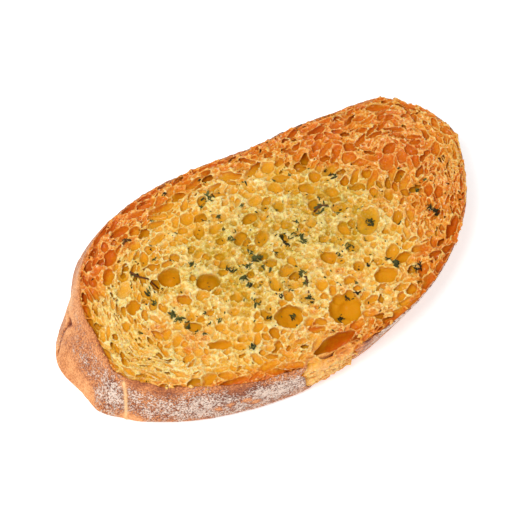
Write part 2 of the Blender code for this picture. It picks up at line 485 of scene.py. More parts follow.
LARGE_BUBBLES: tuple[Bubble, ...] = table(Bubble, (
    (-30.6, 5.4, 3.6, 3.4, 74, 4.2, 0.4), (-21.2, -1.1, 3.4, 3.2, 148, 4.2, 0.4),
    (-5.0, -21.9, 4.4, 4.2, 166, 4.8, 0.3), (10.8, -27.0, 6.0, 4.8, 47, 4.9, 0.2),
    (26.9, -22.1, 3.8, 2.9, 170, 3.4, 0.2), (30.7, -3.5, 5.2, 3.5, 43, 2.2),
    (-17.1, 21.6, 2.7, 2.3, 29, 2.6), (-11.6, 10.1, 1.7, 1.4, 152, 1.8),
    (-32.9, 24.4, 1.9, 1.6, 31, 2.0, 0.3), (-46.5, 14.1, 2.9, 1.8, 59, 2.6, 0.4),
    (-42.6, 12.3, 2.2, 1.9, 40, 2.2), (-43.3, 19.9, 3.0, 2.0, 45, 2.4, 0.3),
    (-35.2, 20.2, 2.1, 1.7, 4, 1.9), (-44.2, 1.4, 3.0, 2.1, 59, 2.6, 0.3), (-40.6, 1.6, 1.7, 1.5, 69, 1.8),
    (-44.4, 7.9, 3.3, 2.4, 47, 1.6), (-49.3, -3.4, 2.0, 1.8, 70, 2.0),
    (-27.3, -20.9, 3.7, 1.7, 162, 2.8, 0.4), (-16.1, -9.3, 2.0, 1.8, 20, 2.0),
    (30.9, 11.8, 1.8, 1.5, 60, 2.2, 0.3), (23.9, 17.5, 2.0, 1.9, 0, 2.2, 0.3),
    (19.6, 18.3, 1.4, 1.2, 0, 1.4), (38.3, 11.4, 2.0, 1.8, 55, 2.2, 0.3),
    (40.5, 1.9, 2.3, 1.4, 64, 2.2, 0.3), (35.7, 18.3, 2.4, 2.2, 157, 1.8), (45.5, 12.1, 3.6, 2.4, 49, 1.6),
    (31.8, 31.6, 3.3, 1.2, 177, 2.0, 0.4), (52.3, 30.8, 4.0, 1.5, 163, 2.0, 0.4),
    (12.4, 26.8, 2.5, 2.1, 10, 2.0), (54.4, -4.2, 2.3, 1.6, 54, 2.0, 0.3),
    (52.0, -2.3, 2.3, 1.6, 59, 2.0, 0.3), (52.1, -16.7, 4.7, 1.5, 42, 3.0, 0.6),
    (42.6, -26.9, 2.7, 1.4, 34, 2.2, 0.5), (31.3, -29.7, 2.6, 1.7, 29, 2.2, 0.4),
    (36.7, -30.0, 3.3, 1.8, 26, 2.6, 0.4), (39.1, -6.8, 2.8, 1.5, 53, 2.2, 0.3),
    (2.6, -35.6, 7.4, 2.5, 8, 5.4, 0.8), (-56.9, 7.0, 3.2, 1.1, 82, 2.6, 0.5),
    (3.7, 17.9, 2.4, 2.1, 174, 1.5), (-0.1, 5.6, 3.1, 2.0, 50, 2.2), (1.2, -8.1, 2.8, 2.0, 13, 2.0),
    (50.6, 11.7, 2.8, 2.1, 47, 1.4), (-31.7, 16.7, 1.8, 1.7, 0, 1.7), (-7.6, 17.2, 1.8, 1.7, 0, 1.6),
    (-48.2, 20.5, 2.3, 0.8, 39, 1.5, 0.2), (16.3, -19.2, 2.0, 1.7, 20, 1.8),
    (22.3, -9.7, 2.2, 1.8, 120, 1.6),
))


@dataclass
class BubbleField:
    """How far every sample point is from the two nearest bubbles, negative inside one.

    Attributes:
        grid: The sample points.
        ragged: Random numbers from -1 to 1 by which the bubbles' walls are uneven.
        reach: How far outside a bubble its distance is still worked out.
    """

    grid: Grid
    ragged: Array
    reach: float = 1.0
    nearest: Array = field(init=False)
    second: Array = field(init=False)

    def __post_init__(self) -> None:
        """Starts with no bubble near."""
        self.nearest = np.full(self.grid.shape, 2 * self.reach, np.float32)
        self.second = self.nearest.copy()

    def add(self, middle: Array, radii: Array, turn: Array) -> None:
        """Adds one ellipsoid.

        Args:
            middle: Its middle.
            radii: Its three radii.
            turn: The rotation from its own axes to the slice's, as a 3 by 3 matrix.
        """
        extent = np.sqrt(((turn * radii) ** 2).sum(axis=1)) + self.reach
        first = np.maximum(np.ceil((middle - extent - self.grid.low) / self.grid.step).astype(int), 0)
        last = np.floor((middle + extent - self.grid.low) / self.grid.step).astype(int) + 1
        last = np.minimum(last, self.grid.shape)
        if (last <= first).any():
            return
        offsets = [
            (low + self.grid.step * np.arange(a, b) - centre).astype(np.float32)
            for low, a, b, centre in zip(self.grid.low, first, last, middle)
        ]
        x, y, z = offsets[0][:, None, None], offsets[1][None, :, None], offsets[2][None, None, :]
        length = np.zeros((), np.float32)
        slope = np.zeros((), np.float32)
        for k in range(3):
            along = (turn[0, k] * x + turn[1, k] * y + turn[2, k] * z) / radii[k]
            length = length + along * along
            slope = slope + (along / radii[k]) ** 2
        length = np.sqrt(length) + 1e-4
        window = tuple(slice(a, b) for a, b in zip(first, last))
        gap = ((length - 1) * length / (np.sqrt(slope) + 1e-4)).astype(np.float32)
        gap += (0.08 + 0.13 * radii.min()) * self.ragged[window]
        nearest, second = self.nearest[window], self.second[window]
        np.minimum(second, np.maximum(nearest, gap), out=second)
        np.minimum(nearest, gap, out=nearest)

    def at_sample(self, middle: Array) -> float:
        """How far the sample nearest to this point is from a bubble."""
        place = np.round((middle - self.grid.low) / self.grid.step).astype(int)
        place = np.clip(place, 0, np.array(self.grid.shape) - 1)
        return float(self.nearest[tuple(place)])


def turned(angle: float, dip: float, roll: float) -> Array:
    """The rotation that turns X by angle about Z, after dipping it and rolling about it."""
    matrix = Matrix.Rotation(angle, 3, "Z") @ Matrix.Rotation(dip, 3, "Y") @ Matrix.Rotation(roll, 3, "X")
    return np.array(matrix)


def far_side(outward_x: Array, outward_y: Array) -> Array:
    """How much of a far or right-hand stretch of rim this is, from 0 to 1, given its outward direction."""
    length = np.hypot(outward_x, outward_y) + 1e-6
    away = np.maximum(0.45 * outward_x + 0.89 * outward_y, 0.9 * outward_x - 0.2 * outward_y) / length
    return smoothstep(0.1, 0.6, away)


BARE_RIM = 1.4  # how much deeper the crumb shows over the crust along the far and right-hand rim
DEEPEST = 4.0  # the depth that is painted as 1
RIM_REACH = 8.0  # how far from the rim its paint reaches, and its long bubbles become rare

# Where the crumb was drawn out along the rim as the loaf was shaped
DRAWN_OUT: tuple[Patch, ...] = table(Patch, (
    (-49.5, -4, 15, 6.5, -82, 1), (-46, -20, 8, 4, -40, 0.5),
    (56, -6, 20, 8, 55, 0.9), (50, 24, 16, 8, -25, 0.7),
))
PALE_RIM = Patch(-52.5, -7.0, 18.0, 6.0, -82, 0.22)  # the stretch of rim that toasted least

# Where the crumb opened into a web of bubbles with thin walls
OPENED: tuple[Patch, ...] = table(Patch, (
    (-44, 6, 15, 11, 65, 0.8), (-36, 22, 16, 8, 35, 0.8), (-10, 30, 24, 5, 3, 0.6),
    (20, 27, 22, 6, 0, 0.5), (46, 14, 16, 14, 0, 0.6), (47, -12, 14, 9, 45, 0.6),
    (-24, -28, 16, 6, -15, 0.4),
))


class Side(Enum):
    """Which cut surface a slab of crumb shows."""

    CUT_FACE = "cut face"
    UNDERSIDE = "underside"


@dataclass(frozen=True)
class Foam:
    """How the small bubbles of one side of the crumb come out.

    Attributes:
        tries: How many bubbles are tried for a place.
        smallest: The smallest radius.
        largest: The largest radius.
        falling: How steeply the number falls as the radius grows.
        deepest: How far under the surface the middle of one lies at most, in radii.
        crowding: The share of its radius by which a new bubble's middle must clear the others.
        wall: The mean thickness of the walls between bubbles.
        wall_uneven: How much thicker or thinner a wall may be.
        stretch: How many times as long as wide bubbles are along the rim.
        calm: The share of the bubbles that open in the slice's middle.
    """

    tries: int
    smallest: float
    largest: float
    falling: float
    deepest: float
    crowding: float
    wall: float
    wall_uneven: float
    stretch: float
    calm: float


@dataclass
class Crumb:
    """One side of the slice's crumb, a slab of foam that runs out to the crust.

    Attributes:
        form: The slice's form.
        name: The piece's name.
        side: Which side it is.
        foam: How its bubbles come out.
        step: The spacing of the sample points that its surface is drawn through.
        low: The slab's lowest height.
        high: The highest height of its sample points.
        seed: The seed of its random numbers.
        most: The most triangles that it may have.
        bubbles: Its large bubbles.
        swell: How much its surface rises and falls.
        droop: How far its surface drops at the rim.
        droop_reach: How far from the rim it starts to drop.
        rim_inset: How far inside the crust's outer surface it ends where it meets the cut surface.
        wall_inset: How far inside the crust's outer surface it ends behind the crust.
        rests_at: The lowest height of the underside's crumb, which the slice rests on.
        back: How far from the slab's hidden side the deepest bubbles end.
        soft_edge: How far round a bubble's edge the bread is rounded off.
    """

    form: SliceForm
    name: str
    side: Side
    foam: Foam
    step: float
    low: float
    high: float
    seed: int
    most: int
    bubbles: tuple[Bubble, ...] = ()
    swell: float = 0.55
    droop: float = 0.55
    droop_reach: float = 1.4
    rim_inset: float = 0.2
    wall_inset: float = 0.7
    rests_at: float = 0.06
    back: float = 1.6
    soft_edge: float = 0.7
    grid: Grid = field(init=False)
    edge: Array = field(init=False)
    drawn_out: Array = field(init=False)
    opened: Array = field(init=False)
    surface: Array = field(init=False)
    enclosed: Array = field(init=False)
    crevice: Array = field(init=False)

    def __post_init__(self) -> None:
        """Lays out the sample points."""
        wall = np.concatenate([self.form.wall_at(z) for z in (0.0, self.form.thickness)])
        low, high = wall.min(axis=0) - 2.0, wall.max(axis=0) + 2.0
        if self.side is Side.CUT_FACE:
            high[:2] = self.form.rim.max(axis=0) + 2.0
        self.grid = Grid.over((low[0], low[1], self.low), (high[0], high[1], self.high), self.step)
        self.edge = self.form.edge_distance(self.grid)
        x, y = self.grid.flat()
        self.drawn_out = sum_of(DRAWN_OUT, x, y) if self.up else 0.0 * x
        self.opened = sum_of(OPENED, x, y) if self.up else 0.0 * x

    @property
    def up(self) -> bool:
        """Whether the surface that it shows looks up."""
        return self.side is Side.CUT_FACE

    @property
    def level(self) -> float:
        """The mean height of the cut surface that it shows."""
        return self.form.thickness if self.up else 0.0

    def build(self) -> bpy.types.Object:
        """Grows the foam and draws its surface.

        Returns:
            The mesh object, with no material.
        """
        rng = np.random.default_rng(self.seed)
        self.surface = self._face_height(rng, self.grid.shape[:2])
        body = self._body(rng)
        hollow = self._hollow(rng)
        open_air = self._reached_from_outside(body, hollow)
        soft = self.soft_edge * (1 - 0.88 * self._webbed())[:, :, None]
        solid = rounded_maximum(body, np.where(open_air, -hollow, -np.abs(hollow) - self.step), soft)
        # The share of bread round each point, which the material turns into painted shade.
        self.enclosed = self._blurred(solid < 0, 1.5)
        self.crevice = self._blurred(solid < 0, 0.6)
        piece = self._meshed(solid)
        thin_to(piece, self.most)
        return piece

    def _face_height(self, rng: np.random.Generator, flat: tuple[int, int]) -> Array:
        """The height of the cut surface at each X, Y place, before any bubble is opened."""
        lumps = 0.4 * uneven(rng, flat, self.step, 14.0) + 0.8 * uneven(rng, flat, self.step, 4.5)
        lumps += 0.55 * uneven(rng, flat, self.step, 2.0) + 0.35 * uneven(rng, flat, self.step, 1.0)
        droop = self.droop * smoothstep(-self.droop_reach, 0.0, self._edge_at(self.level))
        if self.up:
            return self.form.thickness + self.swell * lumps - droop
        return self.swell * np.maximum(0.15 + lumps, 0.0) + droop

    def _webbed(self) -> Array:
        """How much each X, Y place is an open web of thin walls, from 0 to 1."""
        return np.clip(np.maximum(self._near_rim(6.0), self.opened), 0, 1)

    def _near_rim(self, reach: float) -> Array:
        """How near each X, Y place is to the rim, from 0 well inside to 1 at it."""
        edge = self._edge_at(self.level)
        return np.exp(np.minimum(edge, 0.0) / reach)

    def _roughness(self, rng: np.random.Generator) -> Array:
        """How far the crumb's surface is torn back, crumbly in the middle and smoother along the rim."""
        rough = 0.15 - 0.6 * np.abs(uneven(rng, self.grid.shape, self.step, 1.3))
        rough += 0.22 * uneven(rng, self.grid.shape, self.step, 0.7)
        x, y = self.grid.flat()
        whole = np.maximum(0.65 * np.clip(self.opened, 0, 1), 0.85 * np.clip(self.drawn_out, 0, 1))
        return rough * (1 - whole * (1 - TORN.at(x, y, self.form.thickness)))[:, :, None]

    def _body(self, rng: np.random.Generator) -> Array:
        """How far every sample is outside the slab with no bubbles."""
        heights = self.grid.axis(2)
        sides = np.stack([self._side_at(z) for z in heights], axis=2)
        sides += 0.25 * uneven(rng, self.grid.shape, self.step, 2.4)
        away = heights[None, None, :] - self.surface[:, :, None]
        face = away if self.up else -away
        body = np.maximum(sides, face) + self._roughness(rng)
        if self.up:
            back = self.low + 1.2 * self.step - heights
        else:
            back = np.maximum(heights - self.high + 1.2 * self.step, self.rests_at - heights)
        return np.maximum(body, back[None, None, :]).astype(np.float32)

    def _side_at(self, z: float) -> Array:
        """How far each X, Y place is outside the slab's side at this height."""
        depth = self.form.thickness - z if self.up else z
        x, y = self.grid.flat()
        bare = BARE_RIM * far_side(*np.gradient(self.edge)) if self.up else 0.0
        hidden = smoothstep(0.5, 2.2, depth - bare + 0.0 * x) * (1 - TORN.at(x, y, z))
        worn = 1.5 * smoothstep(15.0, 20.5, z + 0.0 * x) * TORN.at(x, y, z)
        return self._edge_at(z) + self.rim_inset + (self.wall_inset - self.rim_inset) * hidden + worn

    def _edge_at(self, z: float) -> Array:
        """How far each X, Y place is outside the crust's surface at this height."""
        below = 1 - z / self.form.thickness
        x, y = self.grid.flat()
        upright = self.edge + tucked_in(x, y) * below
        shift = self.form.lean_at(np.array(float(z))) / self.step
        whole = np.floor(shift).astype(int)
        share = shift - whole
        total = np.zeros_like(upright)
        for step_x in (0, 1):
            for step_y in (0, 1):
                weight = (share[0] if step_x else 1 - share[0]) * (share[1] if step_y else 1 - share[1])
                total += weight * np.roll(upright, (whole[0] + step_x, whole[1] + step_y), axis=(0, 1))
        return total + float(self.form.inset(np.array(float(z))))

    def _hollow(self, rng: np.random.Generator) -> Array:
        """How far every sample is outside a bubble's air, negative inside it."""
        air = BubbleField(self.grid, uneven(rng, self.grid.shape, self.step, 2.4))
        for bubble in self.bubbles:
            height = self.level - bubble.sink if self.up else bubble.sink
            radii = np.array((bubble.long, bubble.short, bubble.depth))
            air.add(np.array((bubble.x, bubble.y, height)), radii, turned(math.radians(bubble.turn), 0, 0))
        if self.up:
            self._add_torn_bubbles(rng, air)
        self._add_small_bubbles(rng, air)
        thinner = 1 - 0.35 * np.maximum(self._near_rim(9.0), self._webbed())
        hollow = self._walled(rng, air, thinner[:, :, None])
        heights = self.grid.axis(2)
        shut = (self.low + self.back - heights) if self.up else (heights - self.high + self.back)
        return np.maximum(hollow, shut[None, None, :])

    def _walled(self, rng: np.random.Generator, air: BubbleField, thinner: Array) -> Array:
        """The bubbles' air with walls of uneven thickness left between them, times thinner."""
        wall = self.foam.wall + self.foam.wall_uneven * uneven(rng, self.grid.shape, self.step, 1.8)
        wall *= thinner
        return np.maximum(air.nearest, wall / 2 - (air.second - air.nearest) / 2)

    def _add_torn_bubbles(self, rng: np.random.Generator, air: BubbleField) -> None:
        """Opens bubbles in the side where the crust tore away."""
        for _ in range(TORN.bubbles):
            middle = TORN.place(rng, self.form)
            size = 0.55 + 1.1 * rng.random() ** 2
            if air.at_sample(middle) > 0.2 * size:
                air.add(middle, size * np.array((2.4, 0.7, 0.7)), turned(*rng.uniform(-0.45, 0.45, 3)))

    def _add_small_bubbles(self, rng: np.random.Generator, air: BubbleField) -> None:
        """Fills the crumb with bubbles, the largest first, drawn out along the rim."""
        foam = self.foam
        share = rng.uniform(size=foam.tries)
        power = 1 - foam.falling
        sizes = (foam.smallest**power + share * (foam.largest**power - foam.smallest**power)) ** (1 / power)
        slope_x, slope_y = np.gradient(self.edge)
        lean = self.form.lean_at(np.array(self.level))
        lean = np.round(lean / self.step).astype(int)
        last = np.array(self.grid.shape[:2]) - 1
        for size in np.sort(sizes)[::-1]:
            place = rng.integers(0, self.grid.shape[:2])
            deep = rng.uniform(-0.5 * size, foam.deepest * size)
            roll = rng.uniform(-1, 1, 4)
            spot = tuple(np.clip(place - lean, 0, last))
            edge = float(self.edge[spot])
            if edge > 0.6:
                continue
            near_rim = math.exp(min(edge, 0.0) / RIM_REACH)
            drawn = float(self.drawn_out[tuple(place)])
            opened = float(self.opened[tuple(place)])
            near_rim = max(near_rim, drawn, opened)
            size = min(max(size, 0.95 * drawn, 0.85 * opened), foam.largest - 1.3 * drawn)
            deep *= 0.45 + 0.55 * near_rim
            if rng.random() > foam.calm + near_rim:
                continue
            surface = float(self.surface[tuple(place)])
            middle = np.array((
                self.grid.low[0] + place[0] * self.step,
                self.grid.low[1] + place[1] * self.step,
                surface - deep if self.up else surface + deep,
            ))
            if air.at_sample(middle) < (foam.crowding + 0.35 * opened) * size:
                continue
            rim_angle = math.atan2(slope_y[spot], slope_x[spot]) + math.pi / 2
            angle = rim_angle + roll[0] * (0.25 + 1.3 * (1 - near_rim))
            stretch = 1.2 + 0.2 * roll[1] + foam.stretch * near_rim * (0.6 + 0.4 * roll[1])
            stretch += 1.6 * drawn * (1 + roll[1])
            radii = size * np.array((stretch**0.75, stretch**-0.45, stretch**-0.2))
            air.add(middle, radii, turned(angle, 0.4 * roll[2], 0.5 * roll[3]))

    def _reached_from_outside(self, body: Array, hollow: Array) -> Array:
        """Which samples of air can be reached from outside the slab through open bubbles."""
        air = hollow < 0
        reached = body > 0
        for _ in range(40):
            before = int(reached.sum())
            for axis in range(3):
                for direction in (1, -1):
                    reached |= np.roll(reached, direction, axis) & air
            if int(reached.sum()) == before:
                break
        grown = reached.copy()
        for axis in range(3):
            for direction in (1, -1):
                grown |= np.roll(reached, direction, axis)
        return grown

    def _blurred(self, solid: Array, radius: float) -> Array:
        """The share of bread within this distance of each sample."""
        share = solid.astype(np.float32)
        reach = max(1, round(radius / self.step))
        for axis in range(3):
            edges = [(reach + 1, reach) if a == axis else (0, 0) for a in range(3)]
            total = np.cumsum(np.pad(share, edges, mode="edge"), axis=axis)
            count = share.shape[axis]
            ahead = np.take(total, np.arange(2 * reach + 1, 2 * reach + 1 + count), axis=axis)
            behind = np.take(total, np.arange(0, count), axis=axis)
            share = (ahead - behind) / (2 * reach + 1)
        return share

    def _meshed(self, solid: Array) -> bpy.types.Object:
        """The surface where solid is zero, as a mesh object."""
        edges = [(1, 1)] * 3
        padded = np.pad(np.clip(solid, -2, 2), edges, constant_values=2.0).astype(np.float32)
        volume = openvdb.FloatGrid()
        volume.background = 2.0
        volume.copyFromArray(padded)
        points, quads = volume.convertToQuads(isovalue=0.0)
        points = (points - 1) * self.step + np.array(self.grid.low)
        return new_piece(self.name, *largest_part(points, quads))

    def dress(self, piece: bpy.types.Object) -> None:
        """Paints how deep, enclosed and proud each point lies, how near the rim, and how toasted."""
        points = points_of(piece)
        # enclosed and crevice feed the material's painted shade in hollows, and ridge feeds its painted
        # highlights.
        paint(piece, {
            "deep": self._depth(points) / DEEPEST,
            "enclosed": self.grid.at(self.enclosed, points),
            "crevice": self.grid.at(self.crevice, points),
            "ridge": smoothstep(0.0, 0.1, ridges_of(piece)),
            "rim": self._rim(points),
            "toast": sum_of(TOASTED if self.up else TOASTED_UNDERSIDE, *points.T[:2]),
            "soaked": sum_of(SOAKED, *points.T[:2]) if self.up else 0.0 * points[:, 0],
            "torn": TORN.at(*points.T) * smoothstep(20.4, 18.4, points[:, 2]),
        })

    def _depth(self, points: Array) -> Array:
        """How far behind the cut surface, or behind the torn side, these points lie."""
        level = self.form.thickness + 0.45 if self.up else 0.0
        torn = TORN.at(*points.T)
        upright = points[:, :2] - self.form.lean_at(points[:, 2])
        inside = np.maximum(-self.grid.at(self.edge, upright), 0.0)
        return np.minimum(np.abs(level - points[:, 2]), 9.0 - 8.4 * torn + inside)

    def _rim(self, points: Array) -> Array:
        """How near the rim these points are, from 0 well inside to 1 at it."""
        edge = self._edge_at(self.level)
        torn = TORN.at(*points.T)
        near = 1 + self.grid.at(edge, points) / RIM_REACH
        return near - 0.22 * torn - PALE_RIM.at(*points.T[:2])


@dataclass
class TornCrumb(Crumb):
    """The crumb that shows down the slice's side, below the cut face's, where the crust tore away.

    Attributes:
        behind: How far into the slice it reaches.
        wall: How far every sample is outside the crust's surface.
    """

    behind: float = 4.5
    wall: Array = field(init=False)

    def __post_init__(self) -> None:
        """Lays out the sample points round the torn stretch."""
        reach = TORN.half + 4.0
        low = (TORN.x - reach, TORN.y - 3.5, self.low)
        high = (TORN.x + reach + 2.0, TORN.y + 11.0, self.high)
        self.grid = Grid.over(low, high, self.step)
        self.edge = self._edge_at(self.form.thickness)
        self.drawn_out = 0.0 * self.edge
        self.opened = 0.0 * self.edge

    def _edge_at(self, z: float) -> Array:
        """How far each X, Y place is outside the crust's surface at this height."""
        lean = self.form.lean_at(np.array(float(z)))
        low = (self.grid.low[0] - lean[0], self.grid.low[1] - lean[1], 0.0)
        upright = Grid(low, self.step, self.grid.shape)
        x, y = upright.flat()
        below = 1 - z / self.form.thickness
        inset = float(self.form.inset(np.array(float(z))))
        return self.form.edge_distance(upright) + tucked_in(x, y) * below + inset

    def _face_height(self, rng: np.random.Generator, flat: tuple[int, int]) -> Array:
        """The block's upper end, hidden in the cut face's slab."""
        return np.full(flat, self.high - 1.2 * self.step)

    def _body(self, rng: np.random.Generator) -> Array:
        """How far every sample is outside the block with no bubbles."""
        heights = self.grid.axis(2)
        self.wall = np.stack([self._edge_at(z) for z in heights], axis=2)
        x = self.grid.axis(0)[:, None, None]
        middle = TORN.middle_at(heights)[None, None, :]
        half = TORN.half_at(heights)[None, None, :]
        ends = np.abs(x - middle) - half - 1.2
        foot = TORN.foot - 1.0 - heights[None, None, :]
        top = heights[None, None, :] - self.high + 1.2 * self.step
        side = self.wall + 0.1 + 0.6 * uneven(rng, self.grid.shape, self.step, 2.6)
        side = side + 1.8 * smoothstep(-0.6, 1.0, np.abs(x - middle) - half)
        side = side + 1.3 * self._roughness(rng)
        block = np.maximum(np.maximum(side, -self.behind - self.wall), np.maximum(foot, top))
        return np.maximum(block, ends).astype(np.float32)

    def _hollow(self, rng: np.random.Generator) -> Array:
        """How far every sample is outside a bubble's air, negative inside it."""
        air = BubbleField(self.grid, uneven(rng, self.grid.shape, self.step, 2.4))
        self._add_torn_bubbles(rng, air)
        return self._walled(rng, air, np.ones(1))

    def _depth(self, points: Array) -> Array:
        """How far behind the torn side these points lie."""
        return -self.grid.at(self.wall, points)

    def _rim(self, points: Array) -> Array:
        """The torn side is toasted like the rim, though less."""
        return np.full(len(points), 0.8)


# -------- Materials --------


def linear(red: int, green: int, blue: int) -> tuple[float, float, float, float]:
    """A colour given as it shows on a screen, 0 to 255, as the shader's own numbers."""

    def channel(value: int) -> float:
        """One of its three channels."""
        share = value / 255
        return share / 12.92 if share <= 0.04045 else ((share + 0.055) / 1.055) ** 2.4

    return (channel(red), channel(green), channel(blue), 1.0)


class Value:
    """A shader socket that carries a number, so that maths on it reads as maths."""

    def __init__(self, recipe: "Recipe", socket: bpy.types.NodeSocket) -> None:
        """Wraps the socket."""
        self.recipe = recipe
        self.socket = socket

    def _maths(self, operation: str, *others: Any) -> "Value":
        """A Math node on this value and the others."""
        node = self.recipe.node("ShaderNodeMath", {"operation": operation}, dict(enumerate(others)))
        return Value(self.recipe, node.outputs[0])

    def __add__(self, other: Any) -> "Value":
        """The sum."""
        return self._maths("ADD", self, other)

    __radd__ = __add__

    def __mul__(self, other: Any) -> "Value":
        """The product."""
        return self._maths("MULTIPLY", self, other)

    def __sub__(self, other: Any) -> "Value":
        """The difference."""
        return self._maths("SUBTRACT", self, other)

    def __rsub__(self, other: Any) -> "Value":
        """The difference, the other way round."""
        return self._maths("SUBTRACT", other, self)

    def __pow__(self, other: Any) -> "Value":
        """The power."""
        return self._maths("POWER", self, other)

    def clamped(self) -> "Value":
        """The value held between 0 and 1."""
        return self._maths("MINIMUM", self._maths("MAXIMUM", self, 0.0), 1.0)

    def rise(self, low: float, high: float) -> "Value":
        """A smooth rise from 0 where the value is low to 1 where it is high."""
        settings = {"interpolation_type": "SMOOTHSTEP"}
        inputs = {"Value": self, "From Min": low, "From Max": high}
        node = self.recipe.node("ShaderNodeMapRange", settings, inputs)
        return Value(self.recipe, node.outputs[0])


class Recipe:
    """One material, written as expressions that add its nodes."""

    def __init__(self, name: str) -> None:
        """Starts a material that holds a Principled shader and its output."""
        self.material = bpy.data.materials.new(name)
        self.material.use_nodes = True
        self.tree = self.material.node_tree
        self.shader = self.tree.nodes["Principled BSDF"]

    def node(self, kind: str, settings: dict[str, Any], inputs: dict[Any, Any]) -> bpy.types.Node:
        """Adds any node.

        Args:
            kind: The node's type.
            settings: Its own properties, set first.
            inputs: Values or links for its sockets, by name or number.

        Returns:
            The node.
        """
        node = self.tree.nodes.new(kind)
        for name, value in settings.items():
            setattr(node, name, value)
        for key, value in inputs.items():
            self.join(value, node.inputs[key])
        return node

    def join(self, value: Any, socket: bpy.types.NodeSocket) -> None:
        """Links a socket to this one, or sets its number or colour."""
        if isinstance(value, Value):
            value = value.socket
        if isinstance(value, bpy.types.NodeSocket):
            self.tree.links.new(value, socket)
        else:
            socket.default_value = value

    def put(self, name: str, value: Any) -> None:
        """Links or sets one input of the shader."""
        self.join(value, self.shader.inputs[name])

    def here(self) -> bpy.types.NodeSocket:
        """The place on the piece, in metres."""
        return self.node("ShaderNodeTexCoord", {}, {}).outputs["Object"]

    def painted(self, name: str) -> Value:
        """A number that the piece keeps for each of its points."""
        node = self.node("ShaderNodeAttribute", {"attribute_name": name}, {})
        return Value(self, node.outputs["Fac"])

    def noise(self, size: float, detail: float = 2.0, rough: float = 0.5) -> Value:
        """Random numbers about 0.5 with lumps of this size, in millimetres."""
        inputs = {"Vector": self.here(), "Scale": 1 / (size * METRES), "Detail": detail, "Roughness": rough}
        return Value(self, self.node("ShaderNodeTexNoise", {}, inputs).outputs["Fac"])

    def mixed(self, share: Any, first: Any, second: Any) -> bpy.types.NodeSocket:
        """A colour between two others."""
        node = self.node("ShaderNodeMix", {"data_type": "RGBA"}, {"Factor": share})
        self.join(first, node.inputs[6])
        self.join(second, node.inputs[7])
        return node.outputs[2]

    def ramp(self, share: Value, stops: tuple[tuple[float, int, int, int], ...]) -> bpy.types.NodeSocket:
        """A colour that runs through these stops, each a place and a colour, as share goes from 0 to 1."""
        node = self.node("ShaderNodeValToRGB", {}, {"Fac": share})
        elements = node.color_ramp.elements
        while len(elements) < len(stops):
            elements.new(0.5)
        for element, (place, *colour) in zip(elements, stops):
            element.position = place
            element.color = linear(*colour)
        return node.outputs["Color"]

    def finish(self, colour: Any, rough: Any, bump: Value | None, depth: float) -> bpy.types.Material:
        """Joins the material's colour, roughness and fine relief to its shader.

        Args:
            colour: The base colour.
            rough: The roughness.
            bump: The height of the fine relief, from 0 to 1.
            depth: How high the relief is at 1, in millimetres.

        Returns:
            The material.
        """
        self.put("Base Color", colour)
        self.put("Roughness", rough)
        if bump is not None:
            inputs = {"Height": bump, "Distance": depth * METRES, "Strength": 1.0}
            self.put("Normal", self.node("ShaderNodeBump", {}, inputs).outputs["Normal"])
        return self.material


